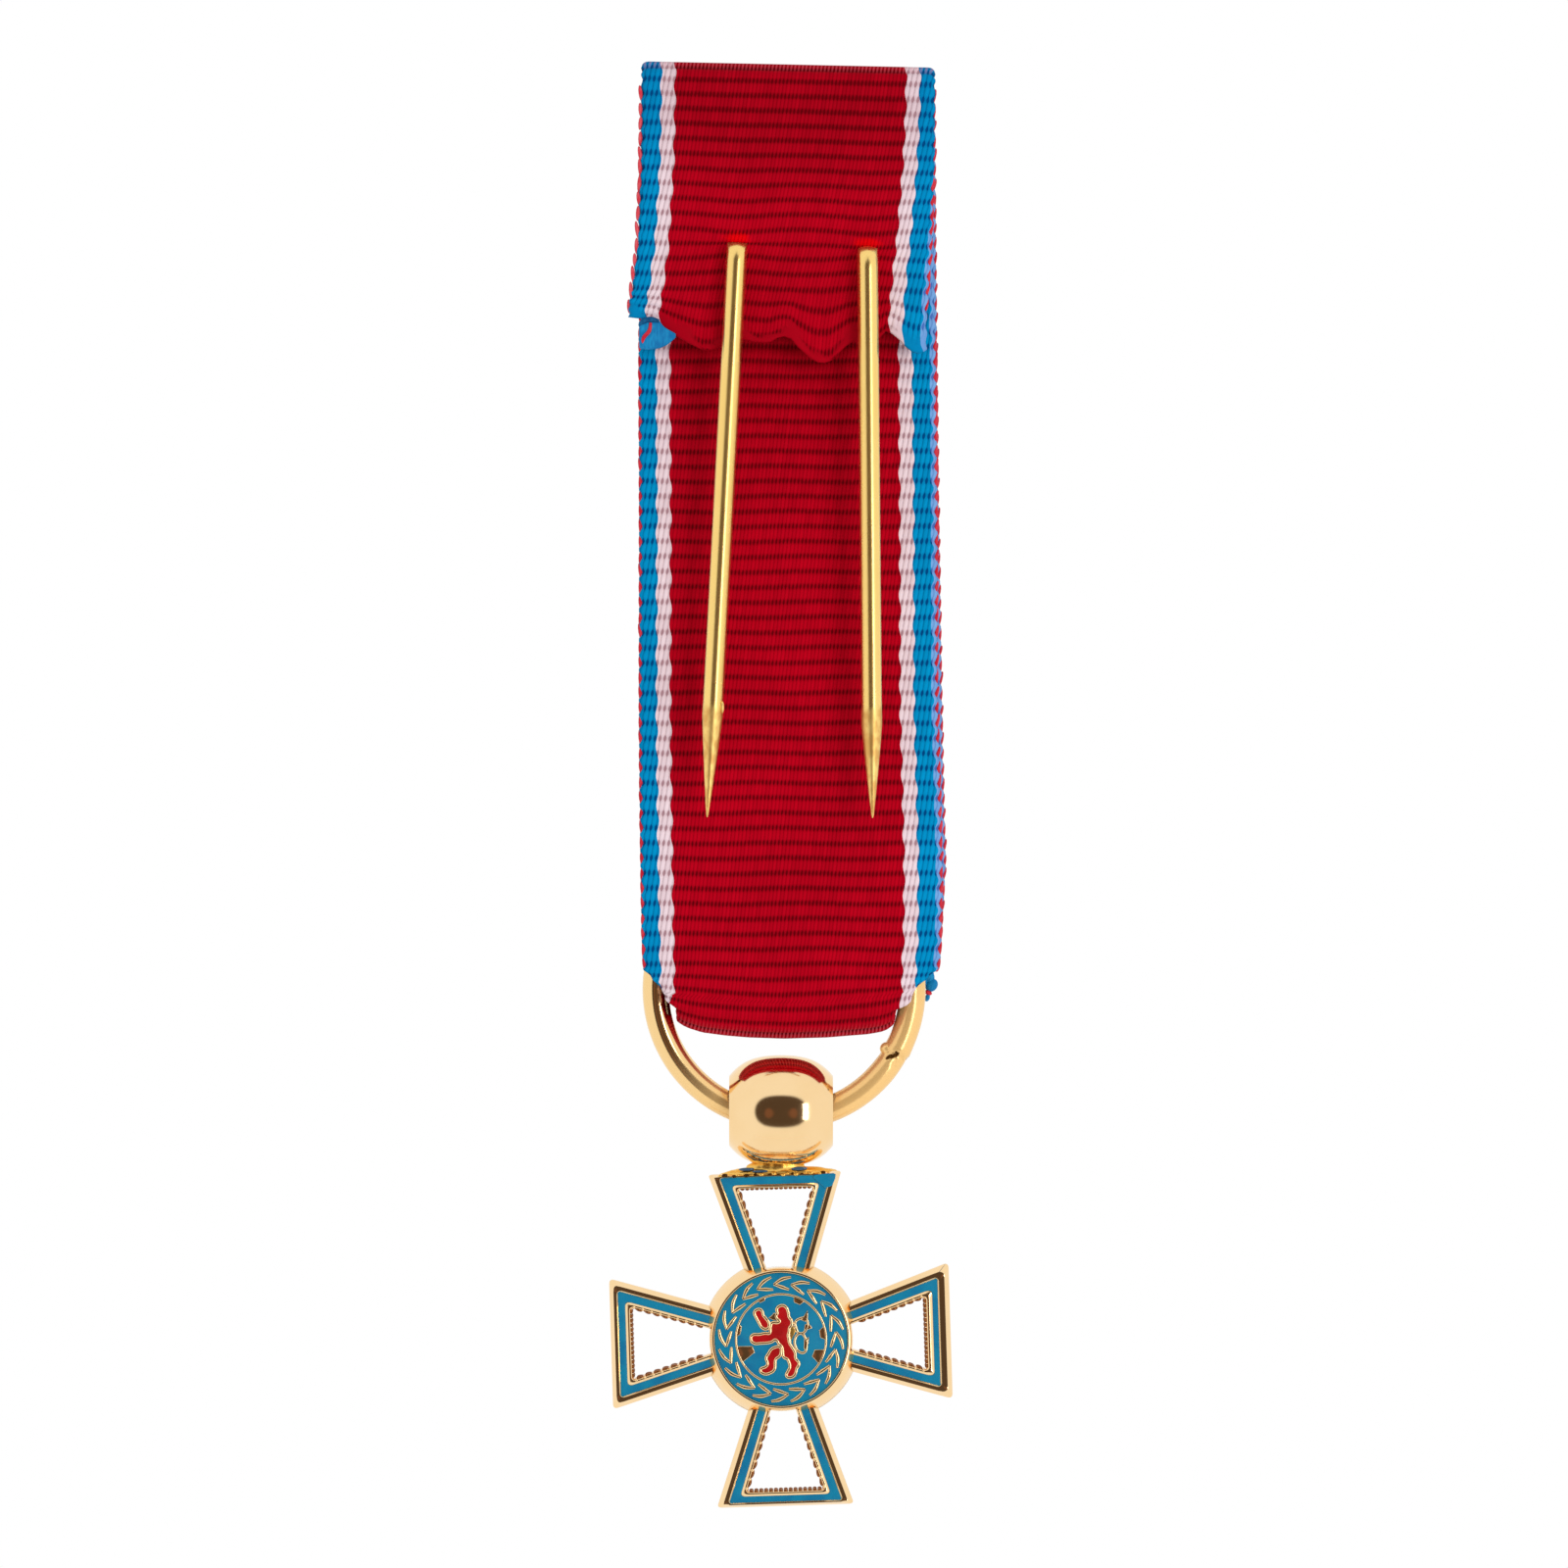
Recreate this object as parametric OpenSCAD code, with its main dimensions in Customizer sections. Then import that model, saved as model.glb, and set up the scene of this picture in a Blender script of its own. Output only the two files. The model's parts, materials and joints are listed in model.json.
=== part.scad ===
// Miniature medal seen from its pin side: a folded ribbon, a pin fitting with two prongs,
// a suspension ring, and an open-armed cross with a soldered barrel bail.
// The pin side faces -Y, +Z is up, and the origin lies on the flap's face at the roots of the prongs.

/* [Ribbon] */
// Width of the woven ribbon
ribbon_w = 14.9; // [14.6:0.1:15.2]
// Thickness of the ribbon cloth
cloth_t = 1; // [1:0.02:1.1]
// Height of the top fold above the roots of the prongs
top_rise = 9.4; // [8.6:0.1:10.6]
// Length of the back flap below the roots, at its middle
flap_drop = 4.9; // [4.5:0.1:5.6]
// How far the flap's cut end is shifted sideways from the top fold
flap_skew = 0.95; // [0:0.05:1.2]
// How far the loop's lowest line lies below the middle of the ring
loop_below_ring = 2.4; // [2:0.05:2.6]

/* [Suspension ring] */
// Radius of the ring at the middle of its wire
ring_r = 6.57; // [6.5:0.01:6.7]
// Thickness of the ring's wire
ring_wire = 1.35; // [1.2:0.01:1.4]
// Drop from the roots of the prongs to the middle of the ring
ring_drop = 37.9; // [34:0.1:42]
// Angle of the solder bead, from the ring's right side
bead_angle = -31; // [-50:1:-10]

/* [Barrel bail] */
// Length of the barrel along its bore
barrel_len = 5.3; // [5:0.05:5.5]
// Largest diameter of the barrel
barrel_d = 5.6; // [5.4:0.05:5.8]
// Diameter of the barrel's flat ends
barrel_end_d = 3.2; // [3:0.05:3.6]
// Diameter of the bore that the ring passes through
bore_d = 2.26; // [2.24:0.01:2.4]

/* [Cross] */
// Reach of each arm from the middle of the cross
arm_reach = 8.5; // [8.3:0.05:8.7]
// Width of an arm across its outer end
arm_end_w = 6.7; // [6.5:0.05:6.9]
// Width of an arm where it leaves the boss
arm_root_w = 3.85; // [3.7:0.05:4]
// Thickness of the cross at the arms' rims
plate_t = 1.5; // [1.4:0.05:1.7]
// Distance from the barrel's axis to the middle of the cross
cross_hang = 11.65; // [11.6:0.01:11.7]
// Lean of the arms in their own plane, as they were soldered on
cross_lean = 1.8; // [0:0.1:2.5]
// Width of an arm's outer rim, ridge and slope together
rim_w = 0.5; // [0.45:0.01:0.55]
// Width of the enamel channel in an arm
channel_w = 0.42; // [0.38:0.01:0.46]
// Width of the beaded rim around a window
bead_rim_w = 0.24; // [0.22:0.01:0.26]
// Number of beads along one side of a window
beads_side = 8; // [6:1:9]

/* [Boss] */
// Radius of the boss at its foot
boss_r = 4.05; // [4:0.01:4.15]
// Radius at which the windows of the arms end against the boss
window_r = 3.66; // [3.6:0.01:3.75]
// Radius of the enamelled recess
recess_r = 3.4; // [3.35:0.01:3.45]
// Radius of the thin circle between wreath and field
circle_r = 2.3; // [2.28:0.01:2.34]
// Number of leaf pairs in the wreath
leaf_pairs = 20; // [16:1:20]

/* [Pin fitting] */
// Thickness of the fitting's wire
pin_d = 1.05; // [0.95:0.01:1.1]
// Place of the left prong's root
pin_left_x = -2.55; // [-2.8:0.05:-2.3]
// Place of the right prong's root
pin_right_x = 4.1; // [3.8:0.05:4.3]
// Length of a prong from its root to its tip
pin_drop = 28.6; // [26:0.1:29]
// Outward lean of the left prong
pin_left_lean = 3; // [1:0.1:3.5]
// Outward lean of the right prong
pin_right_lean = 0.5; // [0:0.1:1.2]

/* [Hidden] */
$fn = 96;

// Clearances: wire to cloth, enamel to gold
seat = 0.06;
cell_gap = 0.02;

// Depths of the ribbon's layers, from the flap's face inwards
flap_y = cloth_t / 2;
bar_y = cloth_t + seat + pin_d / 2;
back_y = cloth_t + 2 * seat + pin_d + cloth_t / 2;
front_y = back_y + cloth_t + 0.15;
mid_y = (back_y + front_y) / 2;

// Heights and sideways places
ring_x = -0.15;
ring_z = -ring_drop;
axis_x = -0.3;
axis_z = ring_z - ring_r + 0.35;
cross_z = axis_z - cross_hang;

// The loop of cloth round the ring
loop_half = ring_wire / 2 + 0.075 + cloth_t / 2;
loop_z = ring_z - 0.6;
loop_edge = 5.6;
edge_lift = 0.4;
shoulder_z = ring_z + 1.2;
ring_top_z = ring_z + ring_r + ring_wire / 2;

// The top fold
fold_r = 0.65;
fold_y = mid_y - 1;
fold_z = top_rise - fold_r - cloth_t / 2;
top_tilt = -0.028;

// Columns: height, depth of the back strand's middle
BACK_DEPTH = [[loop_z, mid_y - loop_half], [ring_top_z, mid_y - loop_half],
              [-2.2, back_y], [1, back_y], [4.2, back_y - 0.3]];
// Columns: height, depth of the front strand's middle
FRONT_DEPTH = [[loop_z, mid_y + loop_half], [ring_top_z, mid_y + loop_half],
               [2.5, front_y], [fold_z, fold_y + fold_r]];
// Columns: height, depth of the flap's middle
FLAP_DEPTH = [[-6, flap_y], [2, flap_y], [fold_z, fold_y - fold_r]];
// Columns: height, sideways shift of the front strand
FRONT_SHIFT = [[loop_z, ring_x], [ring_z + 5, 0.55], [ring_z + 13, 0.35], [fold_z, 0.1]];
// Columns: height, sideways shift of the flap
FLAP_SHIFT = [[-4, 0.1 - flap_skew], [1, -0.3], [5, 0], [fold_z, 0.1]];
// Columns: place across the flap as a share of its half width, drop of the cut end beyond flap_drop
CUT = [[-1, -1.2], [-0.93, -1.1], [-0.68, -0.35], [-0.42, 0], [-0.2, -0.8],
       [0.08, 0.3], [0.28, 1.1], [0.5, 0.6], [0.76, -0.6], [0.88, 0.2], [1, 0.7]];

// Heights of the rows of the three straight stretches
BACK_ROWS = [4.2, 2.6, 1, -0.6, -2.2, -6.5, -11, -16, -21, -26, ring_top_z, ring_z + 4];
FRONT_ROWS = [ring_z + 4, ring_top_z, -26, -21, -16, -11, -6.5, -2.2, 0.2, 2.5, 4.4, 6.3];
FLAP_ROWS = [6.3, 4.1, 2, 0.9, -0.4, -1.6, -2.8];
loop_steps = 10;
fold_steps = 6;
columns = 20;

// A row of the ribbon: outer depth, inner depth, outer height, inner height, shift, half width,
// share of the loop's curve, share of the loop's turn, share of the top's tilt, share of the cut end
function strand_row(y, z, out, shift, half, curve = 0, tilt = 0, cut = 0) =
    [y + out * cloth_t / 2, y - out * cloth_t / 2, z, z, shift, half, curve, 0, tilt, cut];
function loop_row(a) =
    [mid_y + (loop_half + cloth_t / 2) * sin(a), mid_y + (loop_half - cloth_t / 2) * sin(a),
     loop_z, loop_z, ring_x, loop_edge, 1, cos(a), 0, 0];
function fold_row(a) =
    [fold_y + (fold_r + cloth_t / 2) * cos(a), fold_y + (fold_r - cloth_t / 2) * cos(a),
     fold_z + (fold_r + cloth_t / 2) * sin(a), fold_z + (fold_r - cloth_t / 2) * sin(a),
     0.1, ribbon_w / 2, 0, 0, 1, 0];

shoulder_half = (ribbon_w / 2 + loop_edge) / 2;
rows = concat(
    [for (z = BACK_ROWS) strand_row(lookup(z, BACK_DEPTH), z, -1, ring_x, ribbon_w / 2)],
    [strand_row(mid_y - loop_half, shoulder_z, -1, ring_x, ribbon_w / 2, 0.4)],
    [strand_row(mid_y - loop_half, (shoulder_z + loop_z) / 2, -1, ring_x, shoulder_half, 0.8)],
    [for (k = [0:loop_steps]) loop_row(-90 + 180 * k / loop_steps)],
    [strand_row(mid_y + loop_half, (shoulder_z + loop_z) / 2, 1, ring_x + 0.1, shoulder_half, 0.8)],
    [strand_row(mid_y + loop_half, shoulder_z, 1, ring_x + 0.2, ribbon_w / 2, 0.4)],
    [for (z = FRONT_ROWS)
        strand_row(lookup(z, FRONT_DEPTH), z, 1, lookup(z, FRONT_SHIFT), ribbon_w / 2, 0, max(0, z / fold_z))],
    [for (k = [0:fold_steps]) fold_row(180 * k / fold_steps)],
    [for (z = FLAP_ROWS)
        strand_row(lookup(z, FLAP_DEPTH), z, -1, lookup(z, FLAP_SHIFT), ribbon_w / 2, 0, max(0, z / fold_z))],
    [strand_row(flap_y, -flap_drop, -1, 0.1 - flap_skew, ribbon_w / 2, 0, 0, 1)]);

// Height of the loop's visible lower edge, a flattened U
function loop_outline(x) = ring_z - loop_below_ring * pow(1 - pow(min(abs(x), 5.7) / 5.75, 3), 1 / 3);
function loop_lift(x) = edge_lift * pow(min(abs(x) / loop_edge, 1.3), 2);
function loop_reach(x) = loop_z + loop_lift(x) - loop_outline(x);
function inner_reach(x) = loop_reach(x) - min(cloth_t, 0.6 * loop_reach(x));

function ribbon_point(row, f, layer) =
    let (x = f * row[5],
         turn = layer == 0 ? loop_reach(x) : inner_reach(x),
         z = row[2 + layer] + row[6] * loop_lift(x) - row[7] * turn
             + row[8] * top_tilt * x - row[9] * lookup(f, CUT))
    [row[4] + x, row[layer], z];

module band_skin() {
    n = len(rows);
    m = columns + 1;
    inner = n * m;
    points = [for (layer = [0:1]) for (i = [0:n - 1]) for (j = [0:columns])
              ribbon_point(rows[i], 2 * j / columns - 1, layer)];
    outside = [for (i = [0:n - 2]) for (j = [0:columns - 1])
               for (t = [[i * m + j, i * m + j + 1, (i + 1) * m + j + 1],
                         [i * m + j, (i + 1) * m + j + 1, (i + 1) * m + j]]) t];
    inside = [for (t = outside) [t[2] + inner, t[1] + inner, t[0] + inner]];
    sides = [for (i = [0:n - 2]) for (e = [[0, 1], [columns, 0]])
             let (a = i * m + e[0], b = (i + 1) * m + e[0])
             for (t = e[1] == 1 ? [[a, b, b + inner], [a, b + inner, a + inner]]
                                : [[a, b + inner, b], [a, a + inner, b + inner]]) t];
    ends = [for (j = [0:columns - 1]) for (e = [[0, 1], [n - 1, 0]])
            let (a = e[0] * m + j, b = e[0] * m + j + 1)
            for (t = e[1] == 1 ? [[a, b + inner, b], [a, a + inner, b + inner]]
                               : [[a, b, b + inner], [a, b + inner, a + inner]]) t];
    polyhedron(points, concat(outside, inside, sides, ends));
}

// The pin fitting: height of its bar, its bends, and the ground cones of its tips
pin_z = -0.4;
bend_r = 0.9;
elbow_r = 0.62;
left_cone = 5.25;
right_cone = 4.8;
tip_d = 0.12;

module ribbon() {
    color("firebrick")
    difference() {
        band_skin();
        // holes through the flap where the prongs come out
        for (x = [pin_left_x, pin_right_x])
            translate([x, cloth_t + 0.3, pin_z]) rotate([90, 0, 0])
                cylinder(d = pin_d + 2 * seat, h = cloth_t + 0.6);
    }
}

// A prong from the middle of the elbow outwards, then down to its ground tip
module prong(lean, cone_len) {
    // straight stretch through the flap
    translate([0, bar_y - elbow_r, 0]) rotate([90, 0, 0]) cylinder(d = pin_d, h = bar_y - elbow_r);
    // bend from outwards to down
    rotate([0, lean, 0]) {
        translate([0, 0, -bend_r]) rotate([0, -90, 0]) rotate([180, 0, 0])
            rotate_extrude(angle = 90) translate([bend_r, 0]) circle(d = pin_d);
        shaft = pin_drop + pin_z - bend_r - cone_len + pin_d / 2;
        translate([0, -bend_r, -bend_r - shaft]) cylinder(d = pin_d, h = shaft);
        translate([0, -bend_r, -bend_r - shaft - cone_len]) cylinder(d1 = tip_d, d2 = pin_d, h = cone_len);
    }
}

module pin_fitting() {
    color("gold") {
        // hidden bar between the flap and the back strand
        translate([pin_left_x + elbow_r, bar_y, pin_z]) rotate([0, 90, 0])
            cylinder(d = pin_d, h = pin_right_x - pin_left_x - 2 * elbow_r);
        // elbows at the bar's ends
        translate([pin_left_x + elbow_r, bar_y - elbow_r, pin_z]) rotate([0, 0, 90])
            rotate_extrude(angle = 90) translate([elbow_r, 0]) circle(d = pin_d);
        translate([pin_right_x - elbow_r, bar_y - elbow_r, pin_z])
            rotate_extrude(angle = 90) translate([elbow_r, 0]) circle(d = pin_d);
        translate([pin_left_x, 0, pin_z]) prong(pin_left_lean, left_cone);
        translate([pin_right_x, 0, pin_z]) prong(-pin_right_lean, right_cone);
    }
}

module suspension_ring() {
    color("gold")
    translate([ring_x, mid_y, ring_z]) rotate([90, 0, 0]) {
        rotate_extrude() translate([ring_r, 0]) circle(d = ring_wire);
        // solder bead where the wire's ends meet
        rotate([0, 0, bead_angle]) translate([ring_r - 0.12, 0, 0]) sphere(d = ring_wire + 0.2);
    }
}

// Points and lists
function unit(v) = v / norm(v);
function turned(v) = [-v[1], v[0]];
function polar(r, a) = [r * sin(a), r * cos(a)];

// Half thicknesses measured from the middle of the cross
half_t = plate_t / 2;
edge_t = 0.3;
channel_z = half_t - 0.3;
enamel_z = half_t - 0.07;

// Places across an arm's rim, from its outline inwards: the ridge, then the top of the slope
ridge_in = 0.26;
slope_in = 0.34;
window_in = rim_w + channel_w + bead_rim_w;
bead_out = 0.05;
arm_start = 3.45;
root_at = 4;
arm_slope = (arm_end_w - arm_root_w) / 2 / (arm_reach - root_at);
side_k = sqrt(1 + arm_slope * arm_slope);

// Outline of an arm that points along +Y, drawn in by the same distance all round
function arm_half(d, inset) = arm_root_w / 2 + arm_slope * (d - root_at) - inset * side_k;
function arm_outline(inset, start = arm_start) =
    [[-arm_half(start, inset), start], [-arm_half(arm_reach - inset, inset), arm_reach - inset],
     [arm_half(arm_reach - inset, inset), arm_reach - inset], [arm_half(start, inset), start]];

// The same outline with its two sides and its end waved like a row of beads
function waved(p, q, n, amp) =
    let (d = q - p, side = [-d[1], d[0]] / norm(d))
    [for (k = [0:4 * n - 1]) p + d * k / (4 * n) + side * amp * (1 - cos(90 * k)) / 2];
function beaded_outline(inset, amp, start = arm_start) =
    let (o = arm_outline(inset, start))
    concat(waved(o[0], o[1], beads_side, amp), waved(o[1], o[2], beads_side, amp),
           waved(o[2], o[3], beads_side, amp), [o[3]]);

// Flat-sided body through stacked four-point outlines, each row holding an outline and its height
module stacked(layers) {
    n = len(layers);
    points = [for (l = layers) for (p = l[0]) [p[0], p[1], l[1]]];
    walls = [for (i = [0:n - 2]) for (j = [0:3])
             [4 * i + j, 4 * i + (j + 1) % 4, 4 * (i + 1) + (j + 1) % 4, 4 * (i + 1) + j]];
    polyhedron(points, concat([[3, 2, 1, 0]], walls, [[4 * n - 4, 4 * n - 3, 4 * n - 2, 4 * n - 1]]));
}

module at_cross() {
    translate([axis_x, mid_y, cross_z]) rotate([90, 0, 0]) children();
}

// One open arm with its channels on both faces
module arm_metal() {
    difference() {
        union() {
            difference() {
                stacked([[arm_outline(ridge_in), -half_t], [arm_outline(0), -edge_t],
                         [arm_outline(0), edge_t], [arm_outline(ridge_in), half_t]]);
                stacked([[arm_outline(rim_w, 3.2), channel_z], [arm_outline(slope_in, 3.2), half_t + 0.01]]);
                stacked([[arm_outline(slope_in, 3.2), -half_t - 0.01], [arm_outline(rim_w, 3.2), -channel_z]]);
            }
            // beaded rim around the window
            translate([0, 0, 0.05 - half_t]) linear_extrude(plate_t - 0.1)
                polygon(beaded_outline(window_in - bead_rim_w, bead_out));
        }
        translate([0, 0, -plate_t]) linear_extrude(2 * plate_t)
            polygon(beaded_outline(window_in, -bead_out, 3));
    }
}

// Heights on the boss: the recess floor, the tops of its enamel, of the raised gold and of the rim
floor_z = 0.65;
field_z = 0.94;
relief_z = 1;
boss_rim_z = 1.1;

// What the four windows cut out of the boss's bevel
module bevel_notches() {
    for (k = [0:3]) rotate([0, 0, cross_lean + 90 * k])
        translate([0, 0, -plate_t]) linear_extrude(2 * plate_t) difference() {
            polygon(beaded_outline(window_in, -bead_out, 3));
            circle(r = window_r);
        }
}

module boss_metal() {
    difference() {
        rotate_extrude()
            polygon([[0, -floor_z], [recess_r, -floor_z], [recess_r, -boss_rim_z],
                     [recess_r + 0.1, -boss_rim_z], [boss_r, -edge_t], [boss_r, edge_t],
                     [recess_r + 0.1, boss_rim_z], [recess_r, boss_rim_z], [recess_r, floor_z], [0, floor_z]]);
        bevel_notches();
    }
}

// Outline of a raised line along a path, narrow at its ends and drawn wider all round by extra
end_share = 0.45;
function line_end(i, n) = i == 0 ? -1 : i == n - 1 ? 1 : 0;
function line_along(path, i) =
    let (n = len(path)) unit(path[min(i + 1, n - 1)] - path[max(i - 1, 0)]);
function ridge_side(path, w, extra, i, side) =
    let (end = line_end(i, len(path)), along = line_along(path, i))
    path[i] + along * end * extra
            + turned(along) * side * (w / 2 * (end == 0 ? 1 : end_share) + extra);
function ridge(path, w, extra) =
    let (n = len(path))
    concat([for (i = [0:n - 1]) ridge_side(path, w, extra, i, 1)],
           [for (i = [n - 1:-1:0]) ridge_side(path, w, extra, i, -1)]);

// Closed outline moved outwards by a distance, for outlines listed clockwise
function grown(outline, d) =
    let (n = len(outline))
    [for (i = [0:n - 1])
        let (a = outline[(i + n - 1) % n], p = outline[i], b = outline[(i + 1) % n],
             u = turned(unit(p - a)), v = turned(unit(b - p)), m = unit(u + v))
        p + m * d / max(m * u, 0.6)];

// A leaf of the wreath, from the tip that the pair shares to its own end
leaf_turn = 360 / leaf_pairs;
leaf_tip_r = 2.83;
leaf_ends_r = [2.56, 3.22];
leaf_w = 0.11;
function leaf(r_end) =
    [polar(leaf_tip_r, -0.39 * leaf_turn),
     polar(leaf_tip_r + 0.62 * (r_end - leaf_tip_r), 0.12 * leaf_turn),
     polar(r_end, 0.42 * leaf_turn)];

// Lion rampant facing left. Columns: place to the right and height, from the middle of the boss
LION = [[-0.16, 1.5], [0.02, 1.66], [0.2, 1.6], [0.31, 1.36], [0.35, 1.12], [0.48, 0.92], [0.48, 0.76],
        [0.37, 0.6], [0.35, 0.4], [0.3, 0.22], [0.33, 0.02], [0.37, -0.2], [0.5, -0.42], [0.66, -0.7],
        [0.68, -0.98], [0.85, -1.24], [0.75, -1.47], [0.66, -1.76], [0.54, -1.87], [0.36, -1.84],
        [0.42, -1.62], [0.51, -1.44], [0.48, -1.2], [0.36, -0.97], [0.2, -0.88], [0.14, -0.6],
        [0.1, -0.36], [-0.04, -0.22], [-0.18, -0.02], [-0.32, 0.04], [-0.48, -0.07], [-0.68, -0.12],
        [-0.98, -0.14], [-1.38, -0.13], [-1.47, -0.01], [-1.43, 0.15], [-1.1, 0.19], [-0.8, 0.25],
        [-0.58, 0.24], [-0.5, 0.34], [-0.48, 0.6], [-0.42, 0.78], [-0.16, 0.79], [0.03, 0.93],
        [-0.12, 1.05], [-0.19, 1.2], [-0.12, 1.33]];
FOREPAW = [[-0.7, 0.86], [-0.68, 0.68], [-0.74, 0.6], [-0.9, 0.62], [-1.09, 0.9], [-1.22, 1.14],
           [-1.29, 1.36], [-1.13, 1.47], [-1.02, 1.4], [-0.96, 1.2], [-0.82, 1.02]];
HIND_LEG = [[-0.1, -0.46], [-0.06, -0.66], [-0.14, -0.84], [-0.32, -0.98], [-0.36, -1.24], [-0.38, -1.47],
            [-0.5, -1.62], [-0.92, -1.67], [-0.97, -1.57], [-0.72, -1.43], [-0.62, -1.24],
            [-0.7, -0.98], [-0.58, -0.74], [-0.46, -0.56], [-0.3, -0.47]];
JAW = [[-0.22, 1.3], [-0.24, 1.06], [-0.14, 0.94], [-0.4, 0.98], [-0.66, 1.1], [-0.5, 1.2], [-0.36, 1.36]];
// The tail: a stem, two loops one above the other, and three tufts
TAIL_STEM = [[0.5, -0.16], [0.42, 0.12], [0.44, 0.54], [0.6, 0.76], [0.78, 0.44], [0.98, 0.3]];
UPPER_LOOP = [[0.98, 0.36], [0.8, 0.66], [0.78, 0.86], [1, 1.02], [1.22, 1.02], [1.28, 0.62]];
LOWER_LOOP = [[0.98, 0.24], [1.22, 0], [1.26, -0.34], [1.16, -0.62], [0.96, -0.6], [0.78, -0.34], [0.76, -0.02]];
TUFTS = [[[1.02, 0.98], [1.16, 1.18], [1.36, 1.5], [1.38, 1.1], [1.26, 0.9]],
         [[1.22, 0.76], [1.44, 0.78], [1.6, 0.58], [1.4, 0.5], [1.18, 0.5]],
         [[1.18, 0], [1.42, 0.12], [1.4, -0.2], [1.3, -0.52], [1.16, -0.5]]];
line_w = 0.1;
loop_wall = 0.09;
circle_w = 0.1;

// Small gold patches against the thin circle. Columns: angle, span, depth
PATCHES = [[-26, 9, 0.26], [24, 11, 0.3], [-78, 12, 0.24], [86, 8, 0.3], [-112, 13, 0.95], [113, 13, 0.55]];
function patch(p) =
    let (r = circle_r - p[2])
    [polar(circle_r + 0.02, p[0] - p[1]), polar(circle_r + 0.02, p[0]), polar(circle_r + 0.02, p[0] + p[1]),
     polar(r, p[0] + 0.6 * p[1]), polar(r, p[0] - 0.6 * p[1])];

module raised(outline, z0, z1) {
    translate([0, 0, z0]) linear_extrude(z1 - z0) polygon(outline);
}

// Gold relief of the field, each shape drawn wider by extra
module field_relief(z0, z1, extra) {
    for (cell = [LION, FOREPAW, HIND_LEG]) raised(grown(cell, line_w + extra), z0, z1);
    raised(grown(JAW, extra), z0, z1);
    raised(ridge(TAIL_STEM, loop_wall, extra), z0, z1);
    for (l = [UPPER_LOOP, LOWER_LOOP]) raised(grown(l, loop_wall + extra), z0, z1);
    for (t = TUFTS) raised(grown(t, extra), z0, z1);
    for (p = PATCHES) raised(grown(patch(p), extra), z0, z1);
}

module wreath_relief(z0, z1, extra) {
    for (k = [0:leaf_pairs - 1]) for (r_end = leaf_ends_r)
        rotate([0, 0, -leaf_turn * k]) raised(ridge(leaf(r_end), leaf_w, extra), z0, z1);
}

module tube_ring(r_out, r_in, z0, z1) {
    translate([0, 0, z0]) difference() {
        cylinder(r = r_out, h = z1 - z0);
        translate([0, 0, -1]) cylinder(r = r_in, h = z1 - z0 + 2);
    }
}

// All raised gold lines of the medallion, sunk a little into the boss
module relief() {
    low = floor_z - 0.1;
    difference() {
        field_relief(low, relief_z, 0);
        for (cell = [LION, FOREPAW, HIND_LEG, UPPER_LOOP, LOWER_LOOP]) raised(cell, floor_z, relief_z + 1);
    }
    wreath_relief(low, relief_z, 0);
    tube_ring(circle_r + circle_w / 2, circle_r - circle_w / 2, low, relief_z);
}

// Barrel with its bore along X
module barrel_bail() {
    sag = (barrel_d - barrel_end_d) / 2;
    arc_r = (pow(barrel_len / 2, 2) + sag * sag) / (2 * sag);
    rotate([0, 90, 0]) rotate_extrude() intersection() {
        translate([barrel_d / 2 - arc_r, 0]) circle(r = arc_r, $fn = 200);
        translate([bore_d / 2, -barrel_len / 2]) square([barrel_d, barrel_len]);
    }
}

// Solder between the barrel and the top arm
solder = [3.4, 1, 0.95];
solder_drop = 2.4;

module cross() {
    color("goldenrod") {
        at_cross() {
            for (k = [0:3]) rotate([0, 0, cross_lean + 90 * k]) arm_metal();
            boss_metal();
            relief();
        }
        translate([axis_x, mid_y, axis_z]) {
            barrel_bail();
            translate([-solder[0] / 2, -solder[1] / 2, -solder_drop - solder[2]]) cube(solder);
        }
    }
}

// Enamel of one arm, side 0 on the pin side and side 1 on the front
module arm_enamel(k, side) {
    color("steelblue")
    at_cross() mirror([0, 0, side]) rotate([0, 0, cross_lean + 90 * k])
        translate([0, 0, channel_z + cell_gap]) difference() {
            linear_extrude(enamel_z - channel_z - cell_gap) polygon(arm_outline(rim_w + cell_gap));
            translate([0, 0, -1]) linear_extrude(3)
                polygon(beaded_outline(window_in - bead_rim_w - cell_gap, bead_out));
            translate([0, 0, -1]) cylinder(r = boss_r - 0.06, h = 3);
        }
}

module enamel_wreath() {
    color("steelblue")
    at_cross() difference() {
        tube_ring(recess_r - cell_gap, circle_r + circle_w / 2 + cell_gap, floor_z + cell_gap, field_z);
        wreath_relief(floor_z - 0.2, relief_z + 1, cell_gap);
    }
}

module enamel_field() {
    color("steelblue")
    at_cross() difference() {
        translate([0, 0, floor_z + cell_gap])
            cylinder(r = circle_r - circle_w / 2 - cell_gap, h = field_z - floor_z - cell_gap);
        field_relief(floor_z - 0.2, relief_z + 1, cell_gap);
    }
}

module cell_enamel(outline, shade) {
    color(shade) at_cross() raised(grown(outline, -cell_gap), floor_z + cell_gap, field_z);
}

module front_enamel_disc() {
    color("steelblue")
    at_cross() mirror([0, 0, 1]) translate([0, 0, floor_z + cell_gap])
        cylinder(r = recess_r - cell_gap, h = field_z - floor_z - cell_gap);
}

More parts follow.
